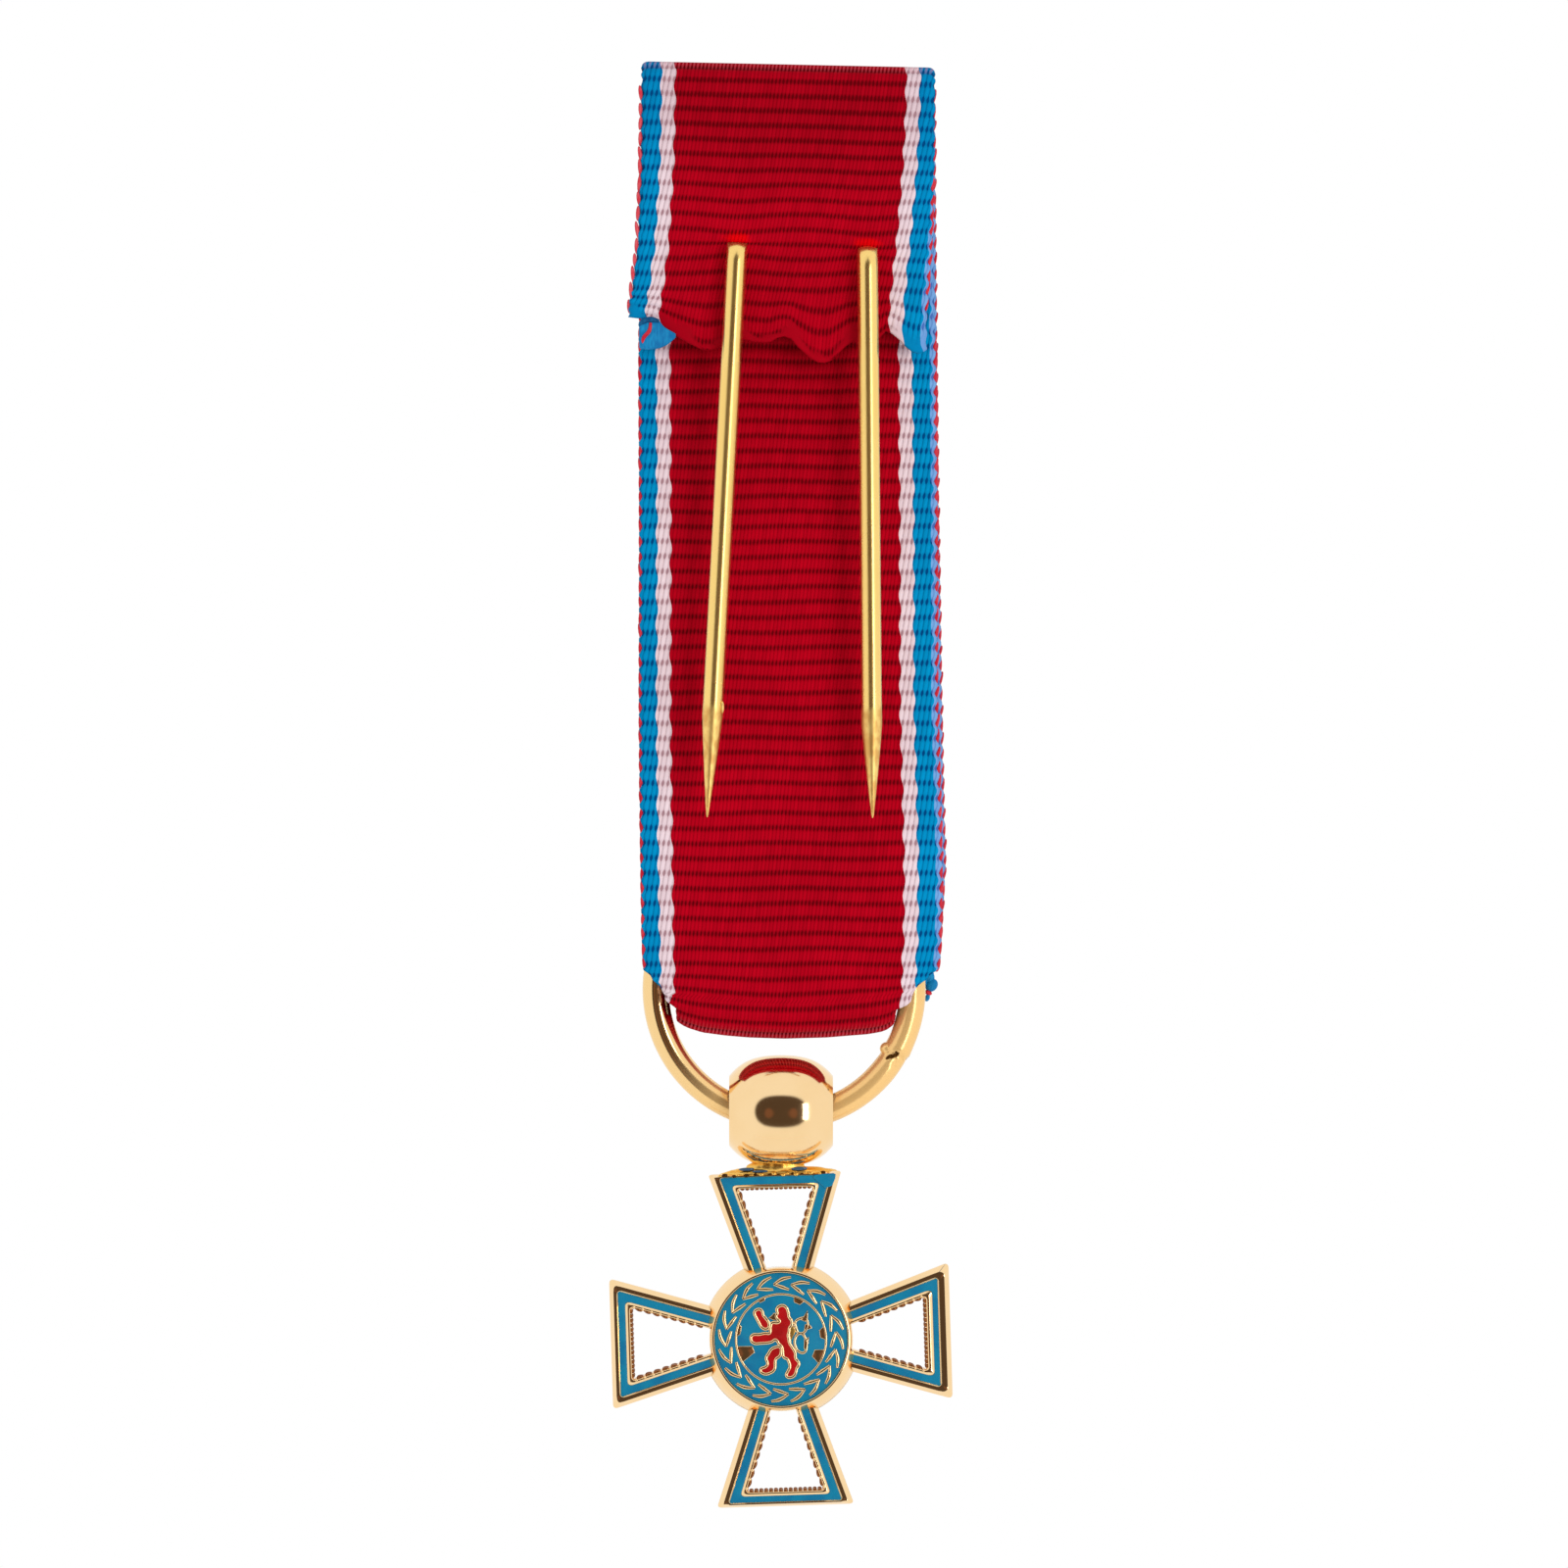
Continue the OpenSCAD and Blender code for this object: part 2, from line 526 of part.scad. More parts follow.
ribbon();
pin_fitting();
suspension_ring();
cross();
arm_enamel(0, 0);  // enamel_top
arm_enamel(3, 0);  // enamel_right
arm_enamel(2, 0);  // enamel_bottom
arm_enamel(1, 0);  // enamel_left
enamel_wreath();
enamel_field();
cell_enamel(LION, "crimson");  // enamel_lion
cell_enamel(FOREPAW, "crimson");  // enamel_lion_forepaw
cell_enamel(HIND_LEG, "crimson");  // enamel_lion_hind_leg
cell_enamel(UPPER_LOOP, "steelblue");  // enamel_tail_upper
cell_enamel(LOWER_LOOP, "steelblue");  // enamel_tail_lower
arm_enamel(0, 1);  // front_enamel_top
arm_enamel(3, 1);  // front_enamel_right
arm_enamel(2, 1);  // front_enamel_bottom
arm_enamel(1, 1);  // front_enamel_left
front_enamel_disc();
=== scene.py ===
"""Miniature medal hung from its two prongs and seen from the pin side, for Blender 4.5.

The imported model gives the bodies, the joint and the place of every node. This script dresses it:
a woven ribbon, a gilt pin fitting and ring, and an open enamelled cross under a barrel bail.
Sizes are in millimetres and become metres where a mesh is made. The pin side faces -Y.
"""

from __future__ import annotations

import json
import logging
import math
from dataclasses import dataclass
from enum import Enum
from typing import Any, Callable, Iterable, Sequence

import bmesh
import bpy
import numpy as np
from mathutils import Matrix, Vector

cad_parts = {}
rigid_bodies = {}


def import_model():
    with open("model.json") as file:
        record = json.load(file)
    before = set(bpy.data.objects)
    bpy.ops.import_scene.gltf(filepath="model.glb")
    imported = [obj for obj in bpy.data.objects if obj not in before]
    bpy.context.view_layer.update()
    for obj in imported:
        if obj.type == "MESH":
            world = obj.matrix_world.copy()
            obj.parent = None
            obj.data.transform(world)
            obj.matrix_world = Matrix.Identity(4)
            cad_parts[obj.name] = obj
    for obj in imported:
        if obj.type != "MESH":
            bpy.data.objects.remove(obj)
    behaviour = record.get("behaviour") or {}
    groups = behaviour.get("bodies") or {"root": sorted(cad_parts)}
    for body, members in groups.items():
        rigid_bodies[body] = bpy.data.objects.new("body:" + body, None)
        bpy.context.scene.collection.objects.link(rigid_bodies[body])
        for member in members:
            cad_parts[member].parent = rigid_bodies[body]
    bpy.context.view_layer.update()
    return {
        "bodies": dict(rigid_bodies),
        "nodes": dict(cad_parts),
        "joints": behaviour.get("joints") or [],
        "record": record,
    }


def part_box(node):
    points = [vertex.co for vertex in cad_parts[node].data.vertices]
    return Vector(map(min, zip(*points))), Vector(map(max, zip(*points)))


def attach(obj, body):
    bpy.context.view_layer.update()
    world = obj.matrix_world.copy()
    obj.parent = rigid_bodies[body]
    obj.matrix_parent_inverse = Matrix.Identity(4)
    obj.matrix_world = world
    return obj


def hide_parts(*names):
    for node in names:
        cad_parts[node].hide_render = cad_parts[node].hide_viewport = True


log = logging.getLogger("medal")

MM = 0.001
# Spans of the cloth's map across and along the band, in mm
WIDTH_SPAN = 20.0
LENGTH_SPAN = 160.0
RIB = 0.77
Piece = bpy.types.Object
Socket = bpy.types.NodeSocket
Material = bpy.types.Material
Colour = tuple[float, float, float]
Point2 = tuple[float, float]
Point3 = tuple[float, float, float]
Numbers = np.ndarray | float
Rows2 = tuple[Point2, ...]
Rows3 = tuple[Point3, ...]
# Row of the band: stretch, depth, height, angle round a bend and length along the band, in mm and degrees
Row = tuple[str, float, float, float, float]


class Body(Enum):
    """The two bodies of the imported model."""

    HANGER = "hanger"
    DROP = "drop"


class Side(Enum):
    """The face of the cross that a piece lies on."""

    PIN = 1
    FRONT = -1


def linear(red: int, green: int, blue: int) -> Colour:
    """Turn a screen colour from 0 to 255 into scene linear values.

    Args:
        red: Red as the screen shows it.
        green: Green as the screen shows it.
        blue: Blue as the screen shows it.

    Returns:
        The colour for a shader socket.
    """
    def channel(value: int) -> float:
        share = value / 255
        return share / 12.92 if share <= 0.04045 else ((share + 0.055) / 1.055) ** 2.4

    return channel(red), channel(green), channel(blue)


def eased(value: Numbers, low: float, high: float) -> Numbers:
    """Rise smoothly from 0 at low to 1 at high.

    Args:
        value: The number or array to ease.
        low: Where the rise starts.
        high: Where it ends.

    Returns:
        The eased share, of the same shape as value.
    """
    share = np.clip((value - low) / (high - low), 0.0, 1.0)
    return share * share * (3 - 2 * share)


def on_number(operation: str) -> Callable[..., "Value"]:
    """Make a method of Value that adds one Math node, with the value as its first input.

    Args:
        operation: What the node does.

    Returns:
        The method, which takes the node's other inputs.
    """
    def method(value: "Value", *others: "Value | float") -> "Value":
        shader = value.shader
        node = shader.node("ShaderNodeMath", {"operation": operation}, dict(enumerate((value, *others))))
        return Value(shader, node.outputs[0])

    return method


class Value:
    """A number socket that takes part in Python expressions."""

    __add__ = __radd__ = on_number("ADD")
    __mul__ = __rmul__ = on_number("MULTIPLY")
    __sub__ = on_number("SUBTRACT")
    __truediv__ = on_number("DIVIDE")
    __abs__ = on_number("ABSOLUTE")
    whole = on_number("FLOOR")
    part = on_number("FRACT")
    wave = on_number("SINE")
    above = on_number("GREATER_THAN")
    least = on_number("MINIMUM")
    most = on_number("MAXIMUM")

    def __init__(self, shader: "Tree", socket: Socket) -> None:
        """Wrap a socket of a tree."""
        self.shader = shader
        self.socket = socket

    def __rsub__(self, other: float) -> "Value":
        """Take this value away from a number."""
        return self * -1.0 + other

    def eased(self, low: float, high: float) -> "Value":
        """Rise smoothly from 0 at low to 1 at high.

        Args:
            low: Where it starts to rise.
            high: Where it is full.

        Returns:
            The smooth value.
        """
        settings = {"interpolation_type": "SMOOTHSTEP"}
        node = self.shader.node("ShaderNodeMapRange", settings, {0: self, 1: low, 2: high})
        return Value(self.shader, node.outputs[0])


class Tree:
    """A node tree, filled node by node."""

    def __init__(self, tree: bpy.types.NodeTree) -> None:
        """Empty the tree."""
        self.tree = tree
        self.tree.nodes.clear()

    def node(self, kind: str, settings: dict[str, Any], inputs: dict[Any, Any]) -> bpy.types.Node:
        """Add a node.

        Args:
            kind: The node's type name.
            settings: Its properties, set first. A ramp's stops are pairs of place and colour.
            inputs: Values or sockets, by input name or number.

        Returns:
            The new node.
        """
        node = self.tree.nodes.new(kind)
        for key, value in settings.items():
            if key == "stops":
                self._set_stops(node, value)
            elif key == "steps":
                node.color_ramp.interpolation = value
            else:
                setattr(node, key, value)
        for key, value in inputs.items():
            if isinstance(value, Value):
                value = value.socket
            if isinstance(value, Socket):
                self.tree.links.new(value, node.inputs[key])
            else:
                node.inputs[key].default_value = value
        return node

    def _set_stops(self, node: bpy.types.Node, stops: Sequence[tuple[float, Colour]]) -> None:
        """Give a colour ramp its stops.

        Args:
            node: The node of the ramp.
            stops: Pairs of a place and a colour.
        """
        elements = node.color_ramp.elements
        while len(elements) < len(stops):
            elements.new(0.5)
        for element, stop in zip(elements, stops):
            element.position = stop[0]
        for element, stop in zip(elements, stops):
            element.color = (*stop[1], 1.0)

    def mix(self, factor: Value | float, first: Any, second: Any,
            blend: str = "MIX") -> Socket:
        """Blend two colours.

        Args:
            factor: Share of the second colour.
            first: Colour or colour socket.
            second: Colour or colour socket.
            blend: Blend mode.

        Returns:
            The mixed colour's socket.
        """
        inputs = {0: factor, 6: first, 7: second}
        for key in (6, 7):
            if isinstance(inputs[key], tuple):
                inputs[key] = (*inputs[key], 1.0)
        return self.node("ShaderNodeMix", {"data_type": "RGBA", "blend_type": blend}, inputs).outputs[2]

    def place(self, output: str = "Object") -> Socket:
        """Object coordinates of the piece."""
        return self.node("ShaderNodeTexCoord", {}, {}).outputs[output]

    def noise(self, scale: float, detail: float = 2.0, stretch: Colour | None = None) -> Value:
        """Noise on Object coordinates.

        Args:
            scale: Repeats to a metre.
            detail: Octaves.
            stretch: Scale along each axis.

        Returns:
            The noise from 0 to 1.
        """
        vector = self.place()
        if stretch is not None:
            vector = self.node("ShaderNodeMapping", {}, {"Vector": vector, "Scale": stretch}).outputs[0]
        node = self.node("ShaderNodeTexNoise", {}, {"Vector": vector, "Scale": scale, "Detail": detail})
        return Value(self, node.outputs[0])

    def attribute(self, name: str) -> Value:
        """A number attribute of the piece's mesh."""
        node = self.node("ShaderNodeAttribute", {"attribute_name": name}, {})
        return Value(self, node.outputs["Fac"])

    def split(self, vector: Socket) -> list[Value]:
        """The three parts of a vector."""
        return [Value(self, part) for part in self.node("ShaderNodeSeparateXYZ", {}, {0: vector}).outputs]


class Shader(Tree):
    """The node tree of one material around a Principled shader."""

    def __init__(self, name: str) -> None:
        """Make a material with its shader and output.

        Args:
            name: Name of the material.
        """
        self.material = bpy.data.materials.new(name)
        self.material.use_nodes = True
        super().__init__(self.material.node_tree)
        self.surface = self.node("ShaderNodeBsdfPrincipled", {}, {})
        self.node("ShaderNodeOutputMaterial", {}, {0: self.surface.outputs[0]})

    def bump(self, height: Value, depth: float, strength: float = 1.0) -> None:
        """Raise the surface by a height.

        Args:
            height: Height from 0 to 1.
            depth: Height of 1, in metres.
            strength: Share of the effect.
        """
        inputs = {"Height": height, "Distance": depth, "Strength": strength}
        self.link("Normal", self.node("ShaderNodeBump", {}, inputs).outputs[0])

    def link(self, name: str, source: Value | Socket) -> None:
        """Feed one of the surface's inputs."""
        self.tree.links.new(getattr(source, "socket", source), self.surface.inputs[name])

    def fix(self, **values: Any) -> None:
        """Set constant inputs of the surface. An underscore in a name stands for a space."""
        for name, value in values.items():
            self.surface.inputs[name.replace("_", " ")].default_value = value


@dataclass(frozen=True)
class Dulling:
    """Where gilt has lost its polish: past a slanted line, between a start and an end in mm."""

    slant: float
    start: float
    end: float
    amount: float
    matt: float


@dataclass(frozen=True)
class Gilt:
    """Gilt metal: its colour where it mirrors white, its polish and how worn it is."""

    name: str
    colour: Colour
    roughness: float
    wear: float = 0.25
    ground_below: float | None = None
    dulling: Dulling | None = None
    warm: Colour = linear(255, 208, 134)

    def make(self) -> Material:
        """Build the material.

        Returns:
            The material, with ground tips below the height ground_below, if that is given.
        """
        shader = Shader(self.name)
        cloud = shader.noise(420.0, 3.0)
        fine = shader.noise(5200.0, 2.0, (1.0, 1.0, 0.25))
        deep = tuple(c * s for c, s in zip(self.colour, (0.93, 0.84, 0.66)))
        colour = shader.mix(cloud.eased(0.35, 0.75) * self.wear, self.colour, deep)
        roughness = cloud.eased(0.3, 0.8) * 0.05 + self.roughness
        height = fine * 0.12
        across, depth, up = (part * (1 / MM) for part in shader.split(shader.place()))
        if self.dulling is not None:
            line = self.dulling
            dull = (across + up * line.slant).eased(line.start, line.end)
            roughness = roughness + dull * line.amount
            colour = shader.mix(dull, colour, self.warm)
            shader.link("Metallic", 1 - dull * line.matt)
        if self.ground_below is not None:
            edge = up + shader.noise(900.0) * 0.9
            ground = 1 - edge.eased(self.ground_below - 0.1, self.ground_below + 0.5)
            grit = shader.noise(9000.0, 3.0, (1.0, 1.0, 0.45))
            blotch = shader.noise(2600.0, 2.0, (1.0, 1.0, 0.6)).eased(0.35, 0.65)
            tan = tuple(c * s for c, s in zip(self.colour, (0.72, 0.52, 0.4)))
            colour = shader.mix(ground * blotch * 0.75, colour, tan)
            roughness = roughness + ground * 0.16
            height = height + ground * grit * 1.4
        shader.link("Base Color", colour)
        shader.link("Roughness", roughness)
        shader.bump(height, 0.004 * MM)
        if self.dulling is None:
            shader.fix(Metallic=1.0)
        return shader.material


@dataclass(frozen=True)
class Enamel:
    """Glossy fired enamel with faint clouds and pits."""

    name: str
    colour: Colour
    deep: Colour

    def make(self) -> Material:
        """Build the material.

        Returns:
            The material.
        """
        shader = Shader(self.name)
        cloud = shader.noise(900.0, 3.0)
        pits = shader.noise(6500.0, 1.0)
        shader.link("Base Color", shader.mix(cloud.eased(0.35, 0.75), self.colour, self.deep))
        shader.link("Roughness", pits.eased(0.55, 0.8) * 0.1 + 0.2)
        shader.bump(cloud + pits * 0.05, 0.012 * MM)
        shader.fix(Coat_Weight=0.5, Coat_Roughness=0.06, IOR=1.5)
        return shader.material


@dataclass(frozen=True)
class Thread:
    """Plain dyed thread, brushed along its length."""

    name: str
    colour: Colour
    pale: Colour

    def make(self) -> Material:
        """Build the material.

        Returns:
            The material.
        """
        shader = Shader(self.name)
        strands = shader.noise(9000.0, 2.0, (1.0, 1.0, 0.3))
        patch = shader.noise(1400.0, 1.0)
        paler = strands.eased(0.35, 0.7) * 0.6 + patch.eased(0.4, 0.7) * 0.4
        shader.link("Base Color", shader.mix(paler, self.colour, self.pale))
        shader.bump(strands, 0.012 * MM)
        shader.fix(Roughness=0.6, Specular_IOR_Level=0.2)
        return shader.material


@dataclass(frozen=True)
class RibbedCloth:
    """Warp-faced ribbed weave with edge stripes, read from the piece's own cloth map."""

    name: str
    red: Colour
    white: Colour
    blue: Colour
    pale_blue: Colour
    # Painted shade: factors that darken the gaps between the threads of each stripe
    blue_gap_shade: Colour = (0.04, 0.17, 0.32)
    white_gap_shade: Colour = (0.42, 0.28, 0.3)
    red_gap_shade: Colour = (0.2, 0.15, 0.2)
    pale_gap_shade: Colour = (0.3, 0.35, 0.6)
    # Colour of the painted glint on thread crests where the band faces up or down at its folds
    glint: Colour = linear(215, 110, 125)
    thread: float = 0.19
    stripe_thread: float = 0.255
    # Right edges of the stripes, in mm from the band's middle: blue, white, red, white, blue
    stripes: tuple[float, ...] = (-6.79, -6.05, 5.66, 6.36, 7.28)

    def make(self) -> Material:
        """Build the material.

        Returns:
            The cloth, whose map holds place across and length along the band.
        """
        shader = Shader(self.name)
        chart = shader.node("ShaderNodeUVMap", {"uv_map": "cloth"}, {})
        over, down, _ = shader.split(chart.outputs[0])
        across = (over - 0.5) * WIDTH_SPAN
        ribs = down * (LENGTH_SPAN / RIB)
        along = ribs.part()
        row = ribs.whole()
        odd = (row * 0.5).part() * 2
        crown = 1 - abs(along * 2 - 1)
        in_stripe = abs(across + 0.2).above(5.86)
        pitch = in_stripe * (self.stripe_thread - self.thread) + self.thread
        column = across / pitch + odd * 0.5 + (along - 0.5) * 0.5
        beside = abs(column.part() * 2 - 1)
        colour = self._stripes(shader, across, ribs, (self.blue, self.white, self.red, self.pale_blue))
        # Painted shade: each stripe's colour multiplied by its gap shade in the rib valleys and thread slits
        gap_shades = (self.blue_gap_shade, self.white_gap_shade, self.red_gap_shade, self.pale_gap_shade)
        gap_shade = self._stripes(shader, across, ribs, gap_shades)
        cell = shader.node("ShaderNodeCombineXYZ", {}, {0: column.whole(), 1: row}).outputs[0]
        speck = shader.node("ShaderNodeTexWhiteNoise", {"noise_dimensions": "2D"}, {0: cell})
        chance = Value(shader, speck.outputs[0])
        fused = shader.attribute("fused")
        woven = 1 - fused
        # Painted shade in the rib valleys, slits and seams between threads, plus random tone from thread to
        # thread; melted cloth is evenly darker
        valley = 1 - crown.eased(0.06, 0.62)
        slit = (beside + valley * 0.35).eased(0.6, 1.15) * valley
        seam = beside.eased(0.55, 1.0) * (in_stripe * 0.1 + 0.2)
        shade = valley * (0.36 - in_stripe * 0.16) + slit * (in_stripe * 0.5 + 0.62) + seam + chance * 0.16
        shade = shade * woven + fused * 0.3
        # Random tone over the band, plus painted shade that darkens it towards the flap's top
        up = shader.split(shader.place())[2] / MM
        tone_and_top_shade = shader.noise(170.0, 2.0).eased(0.3, 0.7) * 0.1 + up.eased(1.0, 7.0) * 0.2
        shaded = shader.mix(1.0, colour, gap_shade, "MULTIPLY")
        colour = shader.mix((shade + tone_and_top_shade).least(0.96), colour, shaded)
        # Painted highlight: lighter, redder cloth where it is pulled over a prong's root
        bright = shader.mix(1.0, colour, (1.6, 0.4, 0.3), "MULTIPLY")
        colour = shader.mix(shader.attribute("pulled"), colour, bright)
        # Painted glint where the band faces up or down at its folds
        glint = shader.attribute("crease") * (1 - beside).eased(0.3, 0.8)
        colour = shader.mix(glint * 0.4, colour, self.glint)
        shader.link("Base Color", colour)
        lens = (1 - beside * beside) * (crown.eased(0.0, 0.7) * 0.7 + 0.3)
        fuzz = shader.noise(11000.0, 2.0)
        shader.bump((lens * woven + fuzz * 0.1).most(0.0), 0.045 * MM, 0.9)
        shader.link("Roughness", 0.7 - fused * 0.25 + chance * 0.1)
        shader.fix(Specular_IOR_Level=0.03)
        return shader.material

    def _stripes(self, shader: Shader, across: Value, ribs: Value,
                 shades: tuple[Colour, Colour, Colour, Colour]) -> Socket:
        """Colour across the band, with edges that step in and out from rib to rib.

        Args:
            shader: The material's tree.
            across: Place across the band in mm.
            ribs: Length along the band in ribs.
            shades: Colours of the blue, white, red and pale blue threads, or their painted gap shades.

        Returns:
            The colour's socket.
        """
        weave = (ribs * math.pi).wave()
        stepped = across + weave * 0.065
        share = stepped / WIDTH_SPAN + 0.5
        blue, white, red, pale_blue = shades
        colours = (white, red, white, blue, pale_blue)
        places = [edge / WIDTH_SPAN + 0.5 for edge in self.stripes]
        stops = [(0.0, blue), *zip(places, colours)]
        ramp = shader.node("ShaderNodeValToRGB", {"stops": stops, "steps": "CONSTANT"}, {0: share})
        return ramp.outputs[0]


class Finishes:
    """All materials of the medal, made once."""

    def __init__(self) -> None:
        """Build every finish."""
        self.ribbon = RibbedCloth(
            "ribbed_cloth",
            red=linear(200, 0, 29),
            white=linear(253, 230, 237),
            blue=linear(0, 157, 216),
            pale_blue=linear(128, 180, 236),
        ).make()
        self.weft = Thread("weft_loops", linear(200, 8, 40), linear(228, 64, 78)).make()
        self.coral = Thread("coral_loops", linear(222, 52, 70), linear(244, 112, 118)).make()
        self.fused_blue = Thread("fused_blue_threads", linear(0, 112, 175), linear(20, 150, 205)).make()
        # Dark blue thread for the painted shade along the turned corner's top
        self.shaded_blue = Thread("shaded_blue_threads", linear(0, 70, 118), linear(10, 100, 150)).make()
        self.pin = Gilt("gilt_wire", linear(254, 217, 132), 0.26, 0.2, ground_below=-23.3).make()
        dulling = Dulling(slant=-0.4, start=10.0, end=16.0, amount=0.1, matt=0.6)
        self.ring = Gilt("gilt_ring", linear(253, 217, 156), 0.1, 0.3, dulling=dulling).make()
        self.cross = Gilt("gilt_cross", linear(254, 220, 168), 0.09, 0.3).make()
        # Darker copy of the gilt: painted shade and dark reflection on the beads
        self.beads = Gilt("shaded_gilt_beads", linear(150, 96, 54), 0.16, 0.9).make()
        self.solder = Gilt("gilt_solder", linear(248, 200, 104), 0.3, 0.7).make()
        self.soot = Gilt("burnt_gilt", linear(88, 56, 20), 0.4, 0.9).make()
        self.stain = Enamel("stained_solder", linear(58, 92, 120), linear(24, 60, 92)).make()
        self.blue = Enamel("blue_enamel", linear(0, 134, 172), linear(0, 116, 162)).make()
        self.red = Enamel("red_enamel", linear(192, 0, 10), linear(165, 0, 6)).make()


def deselect() -> None:
    """Leave nothing selected and nothing in edit mode."""
    if bpy.context.object is not None and bpy.context.object.mode != "OBJECT":
        bpy.ops.object.mode_set(mode="OBJECT")
    bpy.ops.object.select_all(action="DESELECT")


def activate(*pieces: Piece) -> None:
    """Select pieces, the first one active."""
    deselect()
    for piece in pieces:
        piece.select_set(True)
    bpy.context.view_layer.objects.active = pieces[0]


def turned(degrees: float) -> Matrix:
    """Turn about Y."""
    return Matrix.Rotation(math.radians(degrees), 4, "Y")


def about(centre: Vector, matrix: Matrix) -> Matrix:
    """Do a turn about a point in metres."""
    return Matrix.Translation(centre) @ matrix @ Matrix.Translation(-centre)


def added(name: str, data: Any) -> Piece:
    """Put new data into the scene as an object.

    Args:
        name: Name of the object.
        data: Its mesh, curve, light or camera.

    Returns:
        The object.
    """
    piece = bpy.data.objects.new(name, data)
    bpy.context.scene.collection.objects.link(piece)
    return piece


def dress(piece: Piece, material: Material) -> Piece:
    """Give a piece one material.

    Args:
        piece: The piece.
        material: Its material.

    Returns:
        The same piece.
    """
    piece.data.materials.clear()
    piece.data.materials.append(material)
    return piece


def fasten(piece: Piece, body: Body, node: str) -> None:
    """Fasten a piece to a body and let it stand for a node.

    Args:
        piece: The finished piece.
        body: The body that it moves with.
        node: The node that it stands for.
    """
    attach(piece, body.value)
    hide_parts(node)
    log.info("made %s", piece.name)


def named(piece: Piece, name: str) -> Piece:
    """Give a piece and its mesh a name.

    Args:
        piece: The piece.
        name: Its new name.

    Returns:
        The same piece.
    """
    piece.name = name
    piece.data.name = name
    return piece


def settle(piece: Piece, name: str) -> Piece:
    """Name a piece and put its place into its mesh.

    Args:
        piece: A mesh or curve object.
        name: The piece's name.

    Returns:
        The mesh object at the origin, unturned and unscaled.
    """
    activate(piece)
    if piece.type == "CURVE":
        bpy.ops.object.convert(target="MESH")
        piece = bpy.context.object
    bpy.ops.object.transform_apply(location=True, rotation=True, scale=True)
    return named(piece, name)


def smooth(piece: Piece, angle: float = 38.0) -> Piece:
    """Shade a piece smooth up to an angle in degrees.

    Args:
        piece: The piece.
        angle: The widest angle that is smoothed, in degrees.

    Returns:
        The same piece.
    """
    activate(piece)
    bpy.ops.object.shade_smooth_by_angle(angle=math.radians(angle))
    return piece


def joined(pieces: Sequence[Piece], name: str) -> Piece:
    """Join pieces into the first one.

    Args:
        pieces: The pieces, each at the origin.
        name: Name of the result.

    Returns:
        The joined piece.
    """
    activate(*pieces)
    bpy.ops.object.join()
    return named(bpy.context.object, name)


def copied(piece: Piece, name: str, matrix: Matrix) -> Piece:
    """Copy a piece with its own mesh.

    Args:
        piece: The piece to copy, at the origin.
        name: Name of the copy.
        matrix: Where the copy's mesh goes.

    Returns:
        The copy.
    """
    twin = named(added(name, piece.data.copy()), name)
    twin.data.transform(matrix)
    return twin


def ball(name: str, place: Vector, size: Sequence[float], detail: tuple[int, int] | int,
         degrees: float = 0.0) -> Piece:
    """Make a smooth ball, squeezed and turned about Y.

    Args:
        name: Name of the piece.
        place: Its middle in metres.
        size: Its half sizes in mm.
        detail: Segments and rings, or how often a ball of triangles is divided.
        degrees: Its turn.

    Returns:
        The ball.
    """
    common = {"radius": MM, "location": place, "rotation": (0.0, math.radians(degrees), 0.0)}
    if isinstance(detail, int):
        bpy.ops.mesh.primitive_ico_sphere_add(subdivisions=detail, **common)
    else:
        bpy.ops.mesh.primitive_uv_sphere_add(segments=detail[0], ring_count=detail[1], **common)
    piece = bpy.context.object
    piece.scale = size
    return smooth(settle(piece, name), 80)


def modify(piece: Piece, kind: str, **settings: Any) -> None:
    """Apply one modifier with its settings.

    Args:
        piece: The piece.
        kind: Kind of modifier.
        settings: The modifier's settings.
    """
    activate(piece)
    step = piece.modifiers.new("step", kind)
    for key, value in settings.items():
        setattr(step, key, value)
    bpy.ops.object.modifier_apply(modifier=step.name)


class Editing:
    """Edit mode on one object, with everything deselected or everything selected at the start."""

    def __init__(self, piece: Piece, whole: bool = False) -> None:
        """Remember the object."""
        self.piece = piece
        self.whole = whole

    def __enter__(self) -> "Editing":
        """Go into edit mode.

        Returns:
            The session itself.
        """
        activate(self.piece)
        bpy.ops.object.mode_set(mode="EDIT")
        bpy.ops.mesh.select_mode(type="VERT")
        bpy.ops.mesh.select_all(action="DESELECT")
        if self.whole:
            bpy.ops.mesh.select_all(action="SELECT")
        return self

    def __exit__(self, *details: Any) -> None:
        """Go back to object mode."""
        bpy.ops.object.mode_set(mode="OBJECT")

    def pick(self, test: Callable[[Any], bool], kind: str = "VERT") -> None:
        """Select the vertices or faces that pass a test, and nothing else.

        Args:
            test: What each one has to pass.
            kind: VERT or FACE.
        """
        bpy.ops.mesh.select_mode(type=kind)
        mesh = bmesh.from_edit_mesh(self.piece.data)
        for element in mesh.verts if kind == "VERT" else mesh.faces:
            element.select_set(test(element))
        mesh.select_flush_mode()
        if kind == "VERT":
            mesh.select_flush(True)
        bmesh.update_edit_mesh(self.piece.data)

    def terraces(self, steps: Iterable[Point2], outwards: Vector) -> None:
        """Inset the selected face again and again, raising each new face.

        Args:
            steps: Pairs of inset and height above the start, in mm.
            outwards: Direction of height.
        """
        height = 0.0
        for inset, level in steps:
            bpy.ops.mesh.inset(thickness=inset * MM, depth=0.0, use_even_offset=True, use_boundary=True)
            bpy.ops.transform.translate(value=outwards * (level - height) * MM)
            height = level


